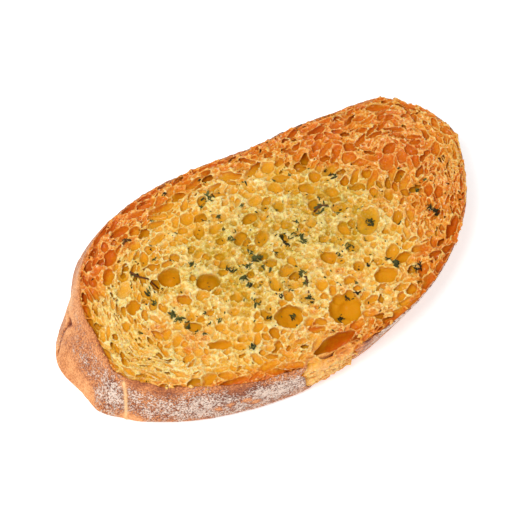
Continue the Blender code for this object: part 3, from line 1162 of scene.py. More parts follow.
@dataclass(frozen=True)
class CrumbFinish:
    """Toasted crumb: pale where butter soaked it, orange where it browned, deeper ochre in its hollows,
    partly where butter pooled and partly painted shade and painted light through the crumb, and lighter on
    its ridges as a painted highlight.

    Attributes:
        name: The material's name.
        butter: How much melted butter shines on it, from 0 to 1.
        gloss: The specular level under the butter.
        translucent: How much of the light passes through it, from 0 to 1.
    """

    name: str
    butter: float
    gloss: float = 0.1
    translucent: float = 0.3

    def material(self) -> bpy.types.Material:
        """The material."""
        recipe = Recipe(self.name)
        deep, enclosed, crevice, ridge, rim, toast, soaked, torn = (
            recipe.painted(name)
            for name in ("deep", "enclosed", "crevice", "ridge", "rim", "toast", "soaked", "torn")
        )
        grain = recipe.noise(0.85, 2.0, 0.7)
        patchy = recipe.noise(1.9, 2.0, 0.6)
        broad = recipe.noise(5.5, 2.0)
        # hollow: a mask of deep cells, enclosed places and crevices. The colour it darkens and saturates is
        # partly butter pooled in the cells, and partly painted shade and painted light through the crumb.
        hollow = (deep - 0.11).clamped() ** 0.75 * 1.25
        hollow = hollow + enclosed.rise(0.5, 0.85) * 0.12 + crevice.rise(0.5, 0.9) * 0.2
        hollow = (hollow * (1.0 + torn * 0.5)).clamped()
        crumbly = (grain.rise(0.36, 0.64) * 0.4 + patchy.rise(0.3, 0.7) * 0.12) * (1.0 - hollow)
        # depth sets each point's place on the ramps below. It mixes random crumbly tone, the hollow's
        # painted shade, and ridges lifted as a painted highlight.
        depth = (hollow + crumbly * (1.0 - ridge * 0.5) - ridge * 0.12).clamped()
        heat = toast + 0.06 + rim.rise(0.78, 0.98) * 0.36 + rim.rise(0.1, 0.9) * 0.2
        heat = heat + (broad - 0.5) * 0.8 + (patchy - 0.5) * 0.8 + (grain - 0.5) * 0.3
        heat = heat - hollow * (0.42 - rim * 0.3)
        heat = heat.clamped()
        buttered = recipe.ramp(depth, (
            (0.0, 255, 227, 152), (0.2, 246, 204, 112), (0.45, 240, 180, 74), (0.7, 230, 165, 36),
            (1.0, 215, 147, 10),
        ))
        browned = recipe.ramp(depth, (
            (0.0, 253, 196, 110), (0.2, 240, 160, 58), (0.45, 227, 132, 30), (0.7, 216, 116, 14),
            (1.0, 204, 100, 8),
        ))
        scorched = recipe.ramp(depth, (
            (0.0, 246, 160, 76), (0.4, 228, 120, 38), (1.0, 194, 88, 10),
        ))
        rich = recipe.ramp(depth, (
            (0.0, 240, 214, 124), (0.2, 220, 182, 74), (0.45, 206, 154, 34), (0.7, 200, 148, 14),
            (1.0, 196, 136, 6),
        ))
        glassy = (soaked * (0.3 + recipe.noise(3.2, 2.0, 0.6).rise(0.42, 0.6) * 1.2)).clamped()
        buttered = recipe.mixed(glassy, buttered, rich)
        chalky = recipe.noise(4.2, 2.0, 0.55).rise(0.5, 0.62) * (1.0 - hollow * 1.4).clamped()
        buttered = recipe.mixed(chalky * 0.32, buttered, linear(254, 236, 168))
        colour = recipe.mixed(heat.rise(0.1, 0.75), buttered, browned)
        colour = recipe.mixed(heat.rise(0.82, 1.08), colour, scorched)
        # Painted highlight: pale gold laid along the ridges of browned crumb.
        colour = recipe.mixed(ridge * heat * 0.45 * (1.0 - hollow), colour, linear(255, 204, 122))
        # Painted glints: near-white specks on the ridges, in place of butter highlights.
        painted_glints = recipe.noise(0.8, 1.0).rise(0.6, 0.7) * (0.2 + ridge * 0.35) * (1.0 - hollow)
        colour = recipe.mixed(painted_glints, colour, linear(255, 244, 206))
        # Painted light: the torn side, which faces away from the lamp, is lifted towards pale gold.
        colour = recipe.mixed(torn * (0.6 - hollow * 0.6), colour, linear(255, 200, 124))
        recipe.put("Specular IOR Level", self.gloss)
        recipe.put("Coat Roughness", 0.16)
        recipe.put("Subsurface Weight", self.translucent)
        recipe.put("Subsurface Radius", (1.0, 0.55, 0.12))
        recipe.put("Subsurface Scale", 1.2 * METRES)
        wet = recipe.noise(1.6, 2.0).rise(0.48, 0.62) * (1.0 - hollow * 0.7) * self.butter
        recipe.put("Coat Weight", wet)
        relief = grain * 1.4 + recipe.noise(0.45, 2.0, 0.6)
        return recipe.finish(colour, 0.6 - wet * 0.2, relief * (1.0 - hollow * 0.7), 0.34)


@dataclass(frozen=True)
class CrustFinish:
    """Baked crust, tan to red-brown, with flour left on it.

    Attributes:
        name: The material's name.
        gloss: The specular level.
    """

    name: str
    gloss: float = 0.15

    def material(self) -> bpy.types.Material:
        """The material."""
        recipe = Recipe(self.name)
        bake, flour, torn, seam = (recipe.painted(name) for name in ("bake", "flour", "torn", "seam"))
        fine = recipe.noise(0.8, 2.0, 0.7)
        patchy = recipe.noise(2.4, 3.0, 0.6)
        broad = recipe.noise(6.0, 2.0)
        speckle = recipe.noise(0.62, 2.0, 0.8).rise(0.4, 0.6) - 0.5
        browning = bake + (broad - 0.5) * 0.4 + (patchy - 0.5) * 0.35 + speckle * (0.3 + flour * 0.5)
        browning = browning + flour * 0.85
        baked = recipe.ramp(browning.clamped(), (
            (0.0, 252, 192, 134), (0.35, 228, 150, 90), (0.65, 182, 106, 62), (1.0, 118, 60, 38),
        ))
        torn_colour = recipe.ramp(fine, (
            (0.3, 206, 112, 30), (0.65, 240, 180, 96),
        ))
        grains = recipe.noise(0.56, 2.0, 0.8)
        cover = grains + (recipe.noise(2.6, 1.0) - 0.5) * 0.3 + (flour - 0.5) * 0.28
        dusted = cover.rise(0.48, 0.53) * flour.rise(0.02, 0.25)
        colour = recipe.mixed(torn, baked, torn_colour)
        colour = recipe.mixed(dusted * 0.82, colour, linear(244, 222, 204))
        colour = recipe.mixed(seam * 0.85, colour, linear(250, 208, 150))
        recipe.put("Specular IOR Level", self.gloss)
        return recipe.finish(colour, 0.55 + dusted * 0.35, fine * 1.2 + dusted * 0.6 + patchy * 0.5, 0.34)


@dataclass(frozen=True)
class HerbFinish:
    """Dried herb, from green to toasted brown.

    Attributes:
        name: The material's name.
        colours: Its colours, from the freshest to the most toasted.
        gloss: The specular level.
    """

    name: str
    colours: tuple[tuple[int, int, int], ...]
    gloss: float = 0.12

    def material(self) -> bpy.types.Material:
        """The material."""
        recipe = Recipe(self.name)
        shade = recipe.painted("shade") + (recipe.noise(0.6, 2.0) - 0.5) * 0.5
        last = len(self.colours) - 1
        stops = tuple((k / last, *colour) for k, colour in enumerate(self.colours))
        colour = recipe.ramp(shade.clamped(), stops)
        recipe.put("Specular IOR Level", self.gloss)
        return recipe.finish(colour, 0.5, recipe.noise(0.3, 2.0), 0.1)


# -------- Crust --------


@dataclass(frozen=True)
class Spot:
    """A soft round place on the crust where something is stronger.

    Attributes:
        place: Its middle.
        radius: How far it reaches.
        strength: What it adds at its middle.
    """

    place: Place
    radius: float
    strength: float

    def at(self, points: Array) -> Array:
        """What the spot adds at these points."""
        away = np.linalg.norm(points - np.array(self.place), axis=1) / self.radius
        return self.strength * np.exp(-(away**2))


@dataclass(frozen=True)
class Crease:
    """A line pressed into the crust, or standing proud of it.

    Attributes:
        path: Points that it passes close to.
        width: Its half width.
        depth: How far it is pressed in, negative where it stands proud.
        bake: How much darker the crust is painted along it, negative where it is paler.
    """

    path: tuple[Place, ...]
    width: float
    depth: float
    bake: float

    def near(self, points: Array) -> Array:
        """How near these points of the crust are, from 0 far away to 1 on the line."""
        path = [points[np.argmin(np.linalg.norm(points - np.array(place), axis=1))] for place in self.path]
        away = np.full(len(points), np.inf)
        for start, end in zip(path, path[1:]):
            span = end - start
            share = np.clip((points - start) @ span / (span @ span), 0, 1)
            away = np.minimum(away, np.linalg.norm(points - start - share[:, None] * span, axis=1))
        return np.exp(-((away / self.width) ** 2))


FLOURED: tuple[Spot, ...] = table(Spot, (
    ((-60.5, -15.9, 14.5), 4.5, 0.3), ((-59.5, -19, 12), 4.5, 0.28), ((-63.8, -15.1, 5.5), 6, 0.22),
    ((-58.5, -20.5, 4), 5, 0.3), ((-64.5, -6, 12), 6, 0.15), ((-52, -25.5, 9), 8, 0.25),
    ((-42.5, -30.5, 11), 8, 0.32), ((-33, -34.5, 9), 9, 0.4), ((-22, -37, 11), 8, 0.4),
    ((-13, -39, 11), 7, 0.5), ((15.4, -36.6, 9), 4, 0.4), ((18.2, -37.5, 18), 3.5, 0.5),
    ((24, -36, 16), 5.5, 0.55), ((33, -32.5, 16), 7, 0.6), ((45, -26, 13), 8, 0.5),
    ((20, 37, 9), 14, 0.4), ((-26, 38, 8), 14, 0.35), ((62, 18, 8), 10, 0.4),
))
BARE: tuple[Spot, ...] = table(Spot, (
    ((-68.1, 1.1, 3.5), 4.5, 0.5), ((-67, -5, 3), 4.5, 0.6), ((-65.6, -9.8, 3), 4, 0.6),
    ((-57.7, -22.3, 2.2), 3.5, 0.9), ((-53.4, -22.5, 18.5), 3, 0.15), ((-48.5, -25.5, 18), 3.5, 0.25),
    ((-44, -28.5, 17), 3, 0.2), ((-26.4, -36.3, 10.4), 1.7, 0.9), ((-23.7, -36.7, 8), 1.5, 0.9),
    ((-34.4, -33.9, 8.3), 1.4, 0.8), ((-31.2, -35, 9.8), 1.4, 0.7), ((-28.3, -35.7, 17.5), 3, 0.5),
    ((-61.9, 9.5, 11.8), 2.6, 0.6),
))
BROWNED: tuple[Spot, ...] = table(Spot, (
    ((-53.4, -21.8, 19.2), 2.6, 0.35), ((-49.2, -25, 18.5), 3, 0.45),
    ((-45.5, -27.8, 18), 2.4, 0.35), ((-32.6, -34.5, 14.6), 3, 0.3), ((-28.3, -35.7, 16.8), 3.6, 0.4),
    ((-23.2, -37.1, 16.5), 2.6, 0.35), ((11.6, -38.6, 19), 1.5, 0.8), ((11.8, -38, 15), 1.4, 0.6),
    ((12.1, -37, 10), 1.4, 0.5), ((-65.5, 6, 4), 2.6, 0.2), ((30, 36, 14), 9, 0.35),
    ((-10, 38, 6), 9, 0.35), ((64, 6, 6), 9, 0.3),
))
PALE: tuple[Spot, ...] = (
    Spot((-58.0, 17.0, 13.0), 8.0, 0.35),
    Spot((-67.5, 8.5, 4.0), 3.0, 0.4),
)
# A notch pressed into the crust, which is also painted darker.
NOTCH = Spot((-61.9, 9.5, 11.8), 1.2, 0.9)
CREASES: tuple[Crease, ...] = (
    Crease(((-61.9, 9.5, 11.8), (-64.0, 9.5, 7.5), (-65.7, 8.2, 5.2), (-68.2, 6.2, 3.0)), 0.55, 0.45, 0.55),
    Crease(((-61.9, 9.5, 11.8), (-60.8, 12.2, 11.5), (-59.6, 15.0, 10.6)), 0.5, 0.3, 0.3),
    Crease(((-61.9, 9.5, 11.8), (-61.4, 6.2, 14.2)), 0.6, 0.2, 0.25),
    Crease(((-58.5, -3.6, 19.4), (-58.4, -9.0, 19.5), (-57.8, -14.3, 19.5), (-57.1, -18.7, 18.9)),
           0.3, 0.12, 0.3),
)
SEAM = Crease(((-57.1, -18.9, 18.7), (-57.8, -20.7, 14.4), (-58.4, -21.6, 8.1), (-58.5, -21.5, 1.3)),
              0.42, -0.3, -0.35)


@dataclass(frozen=True)
class TornZone:
    """The stretch of crust that tore away, so that the crumb behind it shows.

    Attributes:
        x: Its middle along the near side.
        y: Its middle across the slice.
        half: Half its length.
        fade: How far its ends take to fade.
        foot: Its lowest height.
        top: Its highest height.
        taper: How far under its top it would narrow to nothing.
        slant: How far its middle moves along X for each millimetre down.
        bubbles: How many bubbles open in it.
    """

    x: float = -0.6
    y: float = -39.0
    half: float = 8.9
    fade: float = 0.7
    foot: float = 2.5
    top: float = 20.0
    taper: float = 27.0
    slant: float = 0.11
    bubbles: int = 320

    def middle_at(self, z: Any) -> Any:
        """Where along X its middle is at this height."""
        return self.x + self.slant * (self.top - z) + 0.9 * np.sin(0.7 * z)

    def half_at(self, z: Any) -> Any:
        """Half its length at this height, less towards its foot."""
        return self.half * np.sqrt(1 - ((self.top - np.clip(z, 0.0, self.top)) / self.taper) ** 2)

    def at(self, x: Array, y: Array, z: Any) -> Array:
        """How far the crust is torn away at these places, from 0 to 1."""
        along = smoothstep(self.fade, -self.fade, np.abs(x - self.middle_at(z)) - self.half_at(z))
        near = smoothstep(12.0, 8.0, np.abs(y - self.y))
        return along * near * smoothstep(self.foot - 1.5, self.foot + 1.5, z + 0.0 * x)

    def place(self, rng: np.random.Generator, form: SliceForm) -> Array:
        """A random place on the crust's surface within the zone."""
        height = rng.uniform(self.foot, form.thickness - 0.5)
        wall = form.wall_at(height)
        inside = (np.abs(wall[:, 0] - self.middle_at(height)) < self.half_at(height)) & (wall[:, 1] < 0)
        return rng.choice(wall[inside])


TORN = TornZone()


@dataclass
class Crust:
    """The crust, a closed band round the slice, from the underside's edge to the cut face's.

    Attributes:
        form: The slice's form.
        rows: Rows of points up the outer surface.
        inner_rows: Rows down the hidden inner surface.
        thick: The crust's thickness.
        below_face: How far under the cut face it ends on the near side.
        wavy: How much lower it ends in places.
        lip: How far its top row is turned in.
        torn_in: How far it is pushed in, behind the crumb, where it tore away.
        seed: The seed of its random numbers.
    """

    form: SliceForm
    rows: int = 62
    inner_rows: int = 6
    thick: float = 1.9
    below_face: float = 0.3
    wavy: float = 0.5
    lip: float = 0.35
    torn_in: float = 2.2
    seed: int = 41

    def build(self) -> bpy.types.Object:
        """Builds the band, with its dents and creases, and paints its browning and flour.

        Returns:
            The mesh object, with no material.
        """
        rng = np.random.default_rng(self.seed)
        smooth = self._outer_surface(rng)
        outer, outward = smooth.reshape(-1, 3), np.tile(self.form.outward, (len(smooth), 1))
        shape = smooth.shape[:2]
        away = self._join_free(rng, shape, 2.6, 0.1) + self._join_free(rng, shape, 0.9, 0.05)
        away = away + self._join_free(rng, shape, 12.0, 0.25)
        relief = away.ravel() * smoothstep(0.0, 1.5, outer[:, 2])
        for crease in (*CREASES, SEAM):
            relief -= crease.depth * crease.near(outer)
        relief -= NOTCH.at(outer)
        ragged = self._join_free(rng, shape, 3.2, 1.7).ravel()
        torn = TORN.at(outer[:, 0] + ragged, *outer.T[1:])
        relief -= self.torn_in * torn
        points = outer.copy()
        points[:, :2] += outward * relief[:, None]
        inner = self._inner_surface(smooth[-2][:, 2])
        faces = self._band(shape[0] + self.inner_rows)
        piece = new_piece("crust", np.concatenate([points, inner]), faces)
        self._paint(piece, outer, torn, away.ravel())
        return piece

    def _outer_surface(self, rng: np.random.Generator) -> Array:
        """The smooth outer surface, one row of points for each height, the last turned in over the top."""
        shares = (1 - np.cos(np.linspace(0.0, 0.9 * math.pi, self.rows - 1))) / 2
        top = self.form.thickness - self.below_face - BARE_RIM * far_side(*self.form.outward.T)
        top = top - self.wavy * np.clip(self._join_free(rng, (1, self.form.around), 6.0, 1.0)[0], 0, 1)
        ragged = self._join_free(rng, (1, self.form.around), 1.4, 0.35)[0]
        rows = []
        for share in shares / shares[-1]:
            row = self.form.wall_at(top * share)
            row[:, 2] += ragged * share**8
            rows.append(row)
        lip = self.form.wall_at(top)
        lip[:, :2] -= self.form.outward * self.lip
        lip[:, 2] += ragged - 0.1
        rows.append(lip)
        return np.stack(rows)

    def _inner_surface(self, top: Array) -> Array:
        """The hidden inner surface, from the top down, thinner at the top, where bubbles open beside it."""
        rows = []
        for share in np.linspace(1, 0, self.inner_rows):
            height = 0.3 + (top - 0.8) * share
            row = self.form.wall_at(height)
            torn = TORN.at(row[:, 0], row[:, 1], height)
            inward = self.thick * (1 - 0.72 * share**3) + self.torn_in * torn
            row[:, :2] -= self.form.outward * inward[:, None]
            rows.append(row)
        return np.concatenate(rows)

    def _join_free(
        self, rng: np.random.Generator, shape: tuple[int, int], size: float, height: float
    ) -> Array:
        """Random dents over the outer surface that also match where the band closes on itself."""
        spare = 60
        step = 0.36
        dents = uneven(rng, (shape[0], shape[1] + spare), step, size)
        share = smoothstep(0, spare, np.arange(spare, dtype=float))
        dents[:, :spare] = dents[:, :spare] * share + dents[:, shape[1] :] * (1 - share)
        return height * dents[:, : shape[1]]

    def _band(self, rings: int) -> Array:
        """The faces between closed rings, the last joined to the first."""
        count = self.form.around
        ring, place = np.meshgrid(np.arange(rings), np.arange(count), indexing="ij")
        after, ahead = (ring + 1) % rings, (place + 1) % count
        corners = [ring * count + place, ring * count + ahead, after * count + ahead, after * count + place]
        return np.stack(corners, axis=-1).reshape(-1, 4)

    def _paint(self, piece: bpy.types.Object, outer: Array, torn: Array, dents: Array) -> None:
        """Paints the browning, the flour and the torn stretch on the outer surface."""
        height = outer[:, 2] / self.form.thickness
        bake = 0.34 + 0.12 * smoothstep(0.9, 1.0, height) + 0.2 * dents
        bake += sum(spot.at(outer) for spot in BROWNED) - sum(spot.at(outer) for spot in PALE)
        flour = 0.16 - 0.12 * smoothstep(0.8, 1.0, height) + sum(spot.at(outer) for spot in FLOURED)
        flour -= sum(spot.at(outer) for spot in BARE)
        # The creases and the notch are painted darker, and the seam paler.
        for crease in (*CREASES, SEAM):
            bake += crease.bake * crease.near(outer)
        bake += NOTCH.at(outer)
        seam = SEAM.near(outer)
        hidden = np.zeros(len(piece.data.vertices) - len(outer))
        values = {"bake": bake, "flour": flour * (1 - seam), "torn": torn, "seam": seam}
        paint(piece, {
            name: np.concatenate([numbers, hidden + (name == "torn")]) for name, numbers in values.items()
        })


# -------- Loose crumbs and herbs --------


@dataclass(frozen=True)
class Flakes:
    """A place on the cut face where herb flakes lie together.

    Attributes:
        x: Its middle.
        y: Its middle.
        spread: How far apart the flakes lie.
        count: How many there are.
        length: How long they are.
        charred: How dark they toasted, from 0 to 1.
    """

    x: float
    y: float
    spread: float
    count: int
    length: float
    charred: float


HERBS: tuple[Flakes, ...] = table(Flakes, (
    (-8.2, 25.4, 1.9, 6, 2.6, 0.2), (-11.5, 23.5, 1.0, 2, 2.0, 0.3), (-19.5, 32.3, 0.6, 2, 1.4, 0.5),
    (-7.4, 32.5, 0.5, 1, 1.4, 0.6), (3.8, 25.2, 0.6, 2, 1.5, 0.3), (12.5, 22.3, 0.6, 2, 1.6, 0.1),
    (17.4, 21.4, 0.5, 1, 1.4, 0.4), (29.1, 15.8, 1.5, 5, 2.4, 0.5), (28.1, 18.4, 0.8, 2, 1.6, 0.8),
    (-0.3, 17.8, 0.7, 2, 2.0, 0.3), (8.2, 12.7, 0.4, 1, 2.0, 0.2), (-12.5, 20.1, 0.6, 2, 1.4, 0.4),
    (-8.1, 18.2, 0.6, 2, 1.8, 0.2), (-8.9, 13.2, 0.5, 2, 1.4, 0.4), (-7.5, 9.4, 1.3, 4, 2.0, 0.1),
    (5.3, 3.2, 1.2, 4, 2.4, 0.5), (9.9, 0.5, 1.9, 7, 2.4, 0.3), (5.2, -0.2, 0.5, 1, 2.2, 0.8),
    (1.2, -0.9, 0.8, 2, 1.6, 0.2), (-4.7, -0.1, 1.5, 6, 3.0, 0.2), (-5.5, 2.2, 0.8, 2, 2.4, 0.3),
    (-7.9, -1.9, 0.9, 3, 2.0, 0.1), (-4.3, -3.8, 0.8, 2, 1.8, 0.2), (-14.0, 0.4, 1.2, 5, 2.2, 0.6),
    (-12.5, -1.1, 0.7, 2, 1.8, 0.4), (-11.1, -4.9, 0.8, 3, 2.4, 0.3), (-10.9, -7.2, 0.4, 1, 2.4, 0.4),
    (-8.5, -8.9, 0.4, 1, 1.4, 0.6), (-2.9, -5.6, 0.6, 2, 1.8, 0.4), (-20.3, -2.1, 0.7, 2, 1.6, 0.6),
    (11.3, 5.6, 0.6, 2, 1.6, 0.3), (19.9, 6.7, 1.6, 5, 2.4, 0.2), (23.9, 2.7, 0.5, 1, 1.6, 0.2),
    (5.2, -10.5, 1.0, 4, 2.2, 0.1), (4.3, -14.2, 0.6, 2, 2.4, 0.2), (3.3, -18.6, 1.1, 5, 2.2, 0.2),
    (3.0, -20.4, 0.5, 1, 2.4, 0.6), (-0.7, -14.3, 0.5, 1, 1.4, 0.4), (-4.3, -14.8, 0.5, 1, 1.8, 0.7),
    (-11.3, -13.1, 1.2, 4, 1.8, 0.1), (-10.0, -19.0, 0.7, 3, 2.2, 0.3), (-3.3, -20.6, 0.8, 4, 2.2, 0.4),
    (9.5, -27.2, 1.0, 4, 2.2, 0.7), (-26.6, -9.8, 0.6, 2, 1.4, 0.3), (-23.8, -13.8, 0.8, 3, 1.8, 0.1),
    (-27.0, -13.7, 0.5, 2, 1.4, 0.4), (-29.7, -16.0, 0.6, 2, 1.8, 0.4), (-35.1, -5.8, 0.8, 3, 2.6, 0.1),
    (-34.0, -8.2, 0.9, 4, 2.8, 0.2), (-32.5, -10.5, 0.8, 3, 2.6, 0.3), (-31.6, -13.2, 0.7, 2, 2.2, 0.4),
    (-19.2, -26.1, 0.9, 3, 2.2, 0.4), (-28.2, -22.0, 0.4, 1, 1.2, 0.2), (-34.3, 3.2, 0.4, 1, 1.4, 0.6),
    (-31.8, 13.7, 0.6, 2, 1.8, 0.5), (-27.5, 11.1, 0.5, 1, 1.6, 0.6), (-22.6, 7.1, 0.9, 3, 1.6, 0.1),
    (-26.8, 25.4, 0.6, 2, 1.4, 0.4), (-36.7, 22.7, 0.5, 1, 2.4, 0.9), (-31.1, 17.9, 0.5, 1, 1.2, 0.7),
    (-39.1, 10.9, 0.8, 4, 1.8, 0.8), (-38.0, 4.3, 0.8, 3, 2.4, 0.3), (-38.3, 1.0, 0.8, 3, 2.2, 0.3),
    (-43.1, -0.3, 0.4, 1, 1.2, 0.6), (21.3, 9.9, 0.6, 2, 1.4, 0.2), (47.9, 8.7, 0.5, 1, 1.4, 0.1),
    (52.8, 1.4, 0.7, 2, 2.6, 0.1), (49.7, 0.2, 0.7, 3, 2.0, 0.1), (49.7, -7.3, 0.8, 3, 2.6, 1.0),
    (50.3, -10.0, 0.8, 3, 2.8, 1.0), (39.1, -8.1, 0.5, 2, 2.2, 0.4), (31.5, -3.9, 1.5, 6, 2.4, 0.3),
    (26.8, -8.9, 0.5, 1, 1.6, 0.2), (21.4, -8.4, 1.1, 4, 2.4, 0.0), (23.8, -17.0, 0.6, 2, 1.8, 0.9),
    (29.8, -17.7, 0.7, 2, 2.4, 0.4), (31.1, -20.3, 0.7, 3, 2.6, 0.6), (36.6, -24.3, 1.2, 5, 2.4, 1.0),
    (17.6, -21.0, 0.4, 1, 2.0, 0.2), (13.1, -23.3, 0.8, 2, 1.8, 0.8), (15.8, -23.9, 0.8, 3, 1.8, 0.9),
    (17.3, -9.8, 0.9, 3, 1.6, 0.1), (10.0, -1.9, 0.8, 3, 1.8, 0.2),
))
TWIGS: tuple[tuple[Point, ...], ...] = (
    ((-40.2, 12.6), (-38.7, 10.3), (-36.5, 8.1), (-34.5, 5.5)),
    ((-38.0, 22.0), (-36.7, 22.9), (-35.2, 22.6)),
    ((18.0, 6.9), (20.2, 7.4), (22.3, 6.4)),
    ((4.0, -11.0), (5.2, -12.6), (4.4, -15.0), (3.6, -17.4)),
)


@dataclass
class Shape:
    """A small shape's points and faces, as a template for copies."""

    points: Array
    faces: Array


class Copies:
    """Many copies of small shapes, joined in one mesh."""

    def __init__(self) -> None:
        """Starts with none."""
        self.points: list[Array] = []
        self.faces: list[Array] = []
        self.paints: dict[str, list[Array]] = {}
        self.total = 0

    def add(self, shape: Shape, place: Array, turn: Array, size: Array, paints: dict[str, float]) -> None:
        """Adds one copy.

        Args:
            shape: What is copied.
            place: Where its middle goes.
            turn: Its rotation, as a 3 by 3 matrix.
            size: Its size along its own three axes.
            paints: What it keeps for its material to read, by name.
        """
        points = (shape.points * size) @ turn.T + place
        self.points.append(points)
        self.faces.append(shape.faces + self.total)
        for name, value in paints.items():
            self.paints.setdefault(name, []).append(np.full(len(points), value))
        self.total += len(points)

    def joined(self, name: str) -> bpy.types.Object:
        """All the copies as one mesh object."""
        piece = new_piece(name, np.concatenate(self.points), np.concatenate(self.faces))
        paint(piece, {key: np.concatenate(values) for key, values in self.paints.items()})
        return piece


def taken_shape(piece: bpy.types.Object) -> Shape:
    """The triangles of a piece that was modelled as a template, which is then removed."""
    bpy.ops.object.mode_set(mode="EDIT")
    bpy.ops.mesh.select_all(action="SELECT")
    bpy.ops.mesh.quads_convert_to_tris()
    bpy.ops.object.mode_set(mode="OBJECT")
    points = points_of(piece) * METRES
    faces = np.array([polygon.vertices[:] for polygon in piece.data.polygons])
    bpy.data.objects.remove(piece, do_unlink=True)
    return Shape(points, faces)


class Ground:
    """The crumb's surface, on which loose things come to rest."""

    def __init__(self, form: SliceForm, crumb: bpy.types.Object, rng: np.random.Generator) -> None:
        """Makes ready to find the surface of this piece of crumb."""
        self.corners = [tuple(polygon.vertices) for polygon in crumb.data.polygons]
        self.tree = BVHTree.FromPolygons([Vector(point) for point in points_of(crumb)], self.corners)
        self.form = form
        self.rng = rng
        self.paints = {name: self._painted(crumb, name) for name in ("deep", "rim", "toast", "soaked")}

    def _painted(self, crumb: bpy.types.Object, name: str) -> Array:
        """What the crumb keeps under this name for each of its points."""
        values = np.empty(len(crumb.data.vertices), np.float32)
        crumb.data.attributes[name].data.foreach_get("value", values)
        return values

    def height(self, x: float, y: float) -> float:
        """The height of the surface here, or the slice's thickness where there is none."""
        hit = self._hit(x, y)[0]
        return self.form.thickness if hit is None else hit.z

    def _hit(self, x: float, y: float) -> tuple:
        """Where a line straight down meets the surface here, with its normal, face and distance."""
        return self.tree.ray_cast(Vector((x, y, 2 * self.form.thickness)), Vector((0, 0, -1)))

    def resting(self, x: float, y: float, tilt: float) -> tuple[Array, Array, int]:
        """Where something laid down here comes to rest, and how it is turned.

        Args:
            x: The place.
            y: The place.
            tilt: How unevenly it lies, in radians.

        Returns:
            The point, a rotation as a 3 by 3 matrix, and the number of a point of the crumb close by.
        """
        hit, normal, face, _ = self._hit(x, y)
        if hit is None:
            return np.array((x, y, self.form.thickness)), np.eye(3), 0
        up = (normal + Vector((0, 0, 0.8)) + Vector(self.rng.normal(0, tilt, 3))).normalized()
        spin = Matrix.Rotation(self.rng.uniform(0, math.tau), 3, "Z")
        turn = np.array(up.to_track_quat("Z", "Y").to_matrix() @ spin)
        return np.array(hit), turn, self.corners[face][0]


def lump_shape(rng: np.random.Generator) -> Shape:
    """A rough crumb or a bit of crumbled leaf, about 1 across."""
    bpy.ops.mesh.primitive_ico_sphere_add(subdivisions=1, radius=0.5)
    lump = bpy.context.object
    for vertex in lump.data.vertices:
        vertex.co *= rng.uniform(0.6, 1.2)
    return taken_shape(lump)


# Where the crumb tore into fine grains as it was cut
CRUMBLY: tuple[Patch, ...] = table(Patch, (
    (-8, 4, 34, 17, 10, 1), (16, 8, 20, 12, 0, 0.6),
    (-36, -20, 20, 8, -30, 1), (-8, -28, 24, 8, -5, 0.8),
    (14, -14, 18, 8, 20, 0.7),
))


@dataclass
class Grains:
    """Fine grains of torn crumb that stand on the cut face.

    Attributes:
        ground: The surface that they stand on.
        count: How many there are.
        smallest: The length of the smallest.
        spare: How much longer the largest is.
        lowest: The height under which none stands, as deep in a bubble.
    """

    ground: Ground
    count: int = 8500
    smallest: float = 0.26
    spare: float = 0.6
    lowest: float = 12.0

    def build(self) -> bpy.types.Object:
        """Builds the grains, most of them where the crumb is crumbly.

        Returns:
            The mesh object, with no material.
        """
        rng = self.ground.rng
        shapes = [lump_shape(rng) for _ in range(4)]
        copies = Copies()
        low, high = self.ground.form.rim.min(axis=0), self.ground.form.rim.max(axis=0)
        places = rng.uniform(low, high, (8 * self.count, 2))
        wanted = 0.12 + sum_of(CRUMBLY, *places.T)
        places = places[rng.random(len(places)) < wanted]
        for x, y in places:
            if len(copies.points) == self.count:
                break
            place, turn, near = self.ground.resting(x, y, 0.5)
            deep, rim = self.ground.paints["deep"][near], self.ground.paints["rim"][near]
            if deep > 0.35 or rim > 0.9 or place[2] < self.lowest:
                continue
            length = self.smallest + self.spare * rng.random() ** 3
            size = length * np.array((1.0, *rng.uniform(0.5, 0.9, 2)))
            # A high ridge value gives the grains the material's painted highlight.
            paints = {"enclosed": 0.0, "crevice": 0.0, "ridge": 0.8, "torn": 0.0}
            paints.update((name, values[near]) for name, values in self.ground.paints.items())
            copies.add(shapes[rng.integers(len(shapes))], place, turn, size, paints)
        return copies.joined("crumb_grains")


@dataclass(frozen=True)
class StrandZone:
    """A stretch of rim beside which thin strands of crumb lie.

    Attributes:
        start: Where on the outline it starts.
        end: Where on the outline it ends, going anticlockwise.
        nearest: How far inside the rim the outermost strands lie.
        farthest: How far inside the rim the innermost strands lie.
        count: How many strands there are.
        rim: How far they are toasted like the rim.
        toast: How far they are toasted besides.
    """

    start: Point
    end: Point
    nearest: float
    farthest: float
    count: int
    rim: float
    toast: float


STRAND_ZONES: tuple[StrandZone, ...] = (
    StrandZone((-56.5, 12.0), (-46.0, -27.0), 0.8, 8.0, 24, 0.75, 0.14),
    StrandZone((58.0, -14.0), (64.0, 26.0), 0.8, 6.0, 12, 0.85, 0.4),
    StrandZone((64.0, 26.0), (28.0, 35.8), 0.8, 5.0, 8, 0.85, 0.45),
)


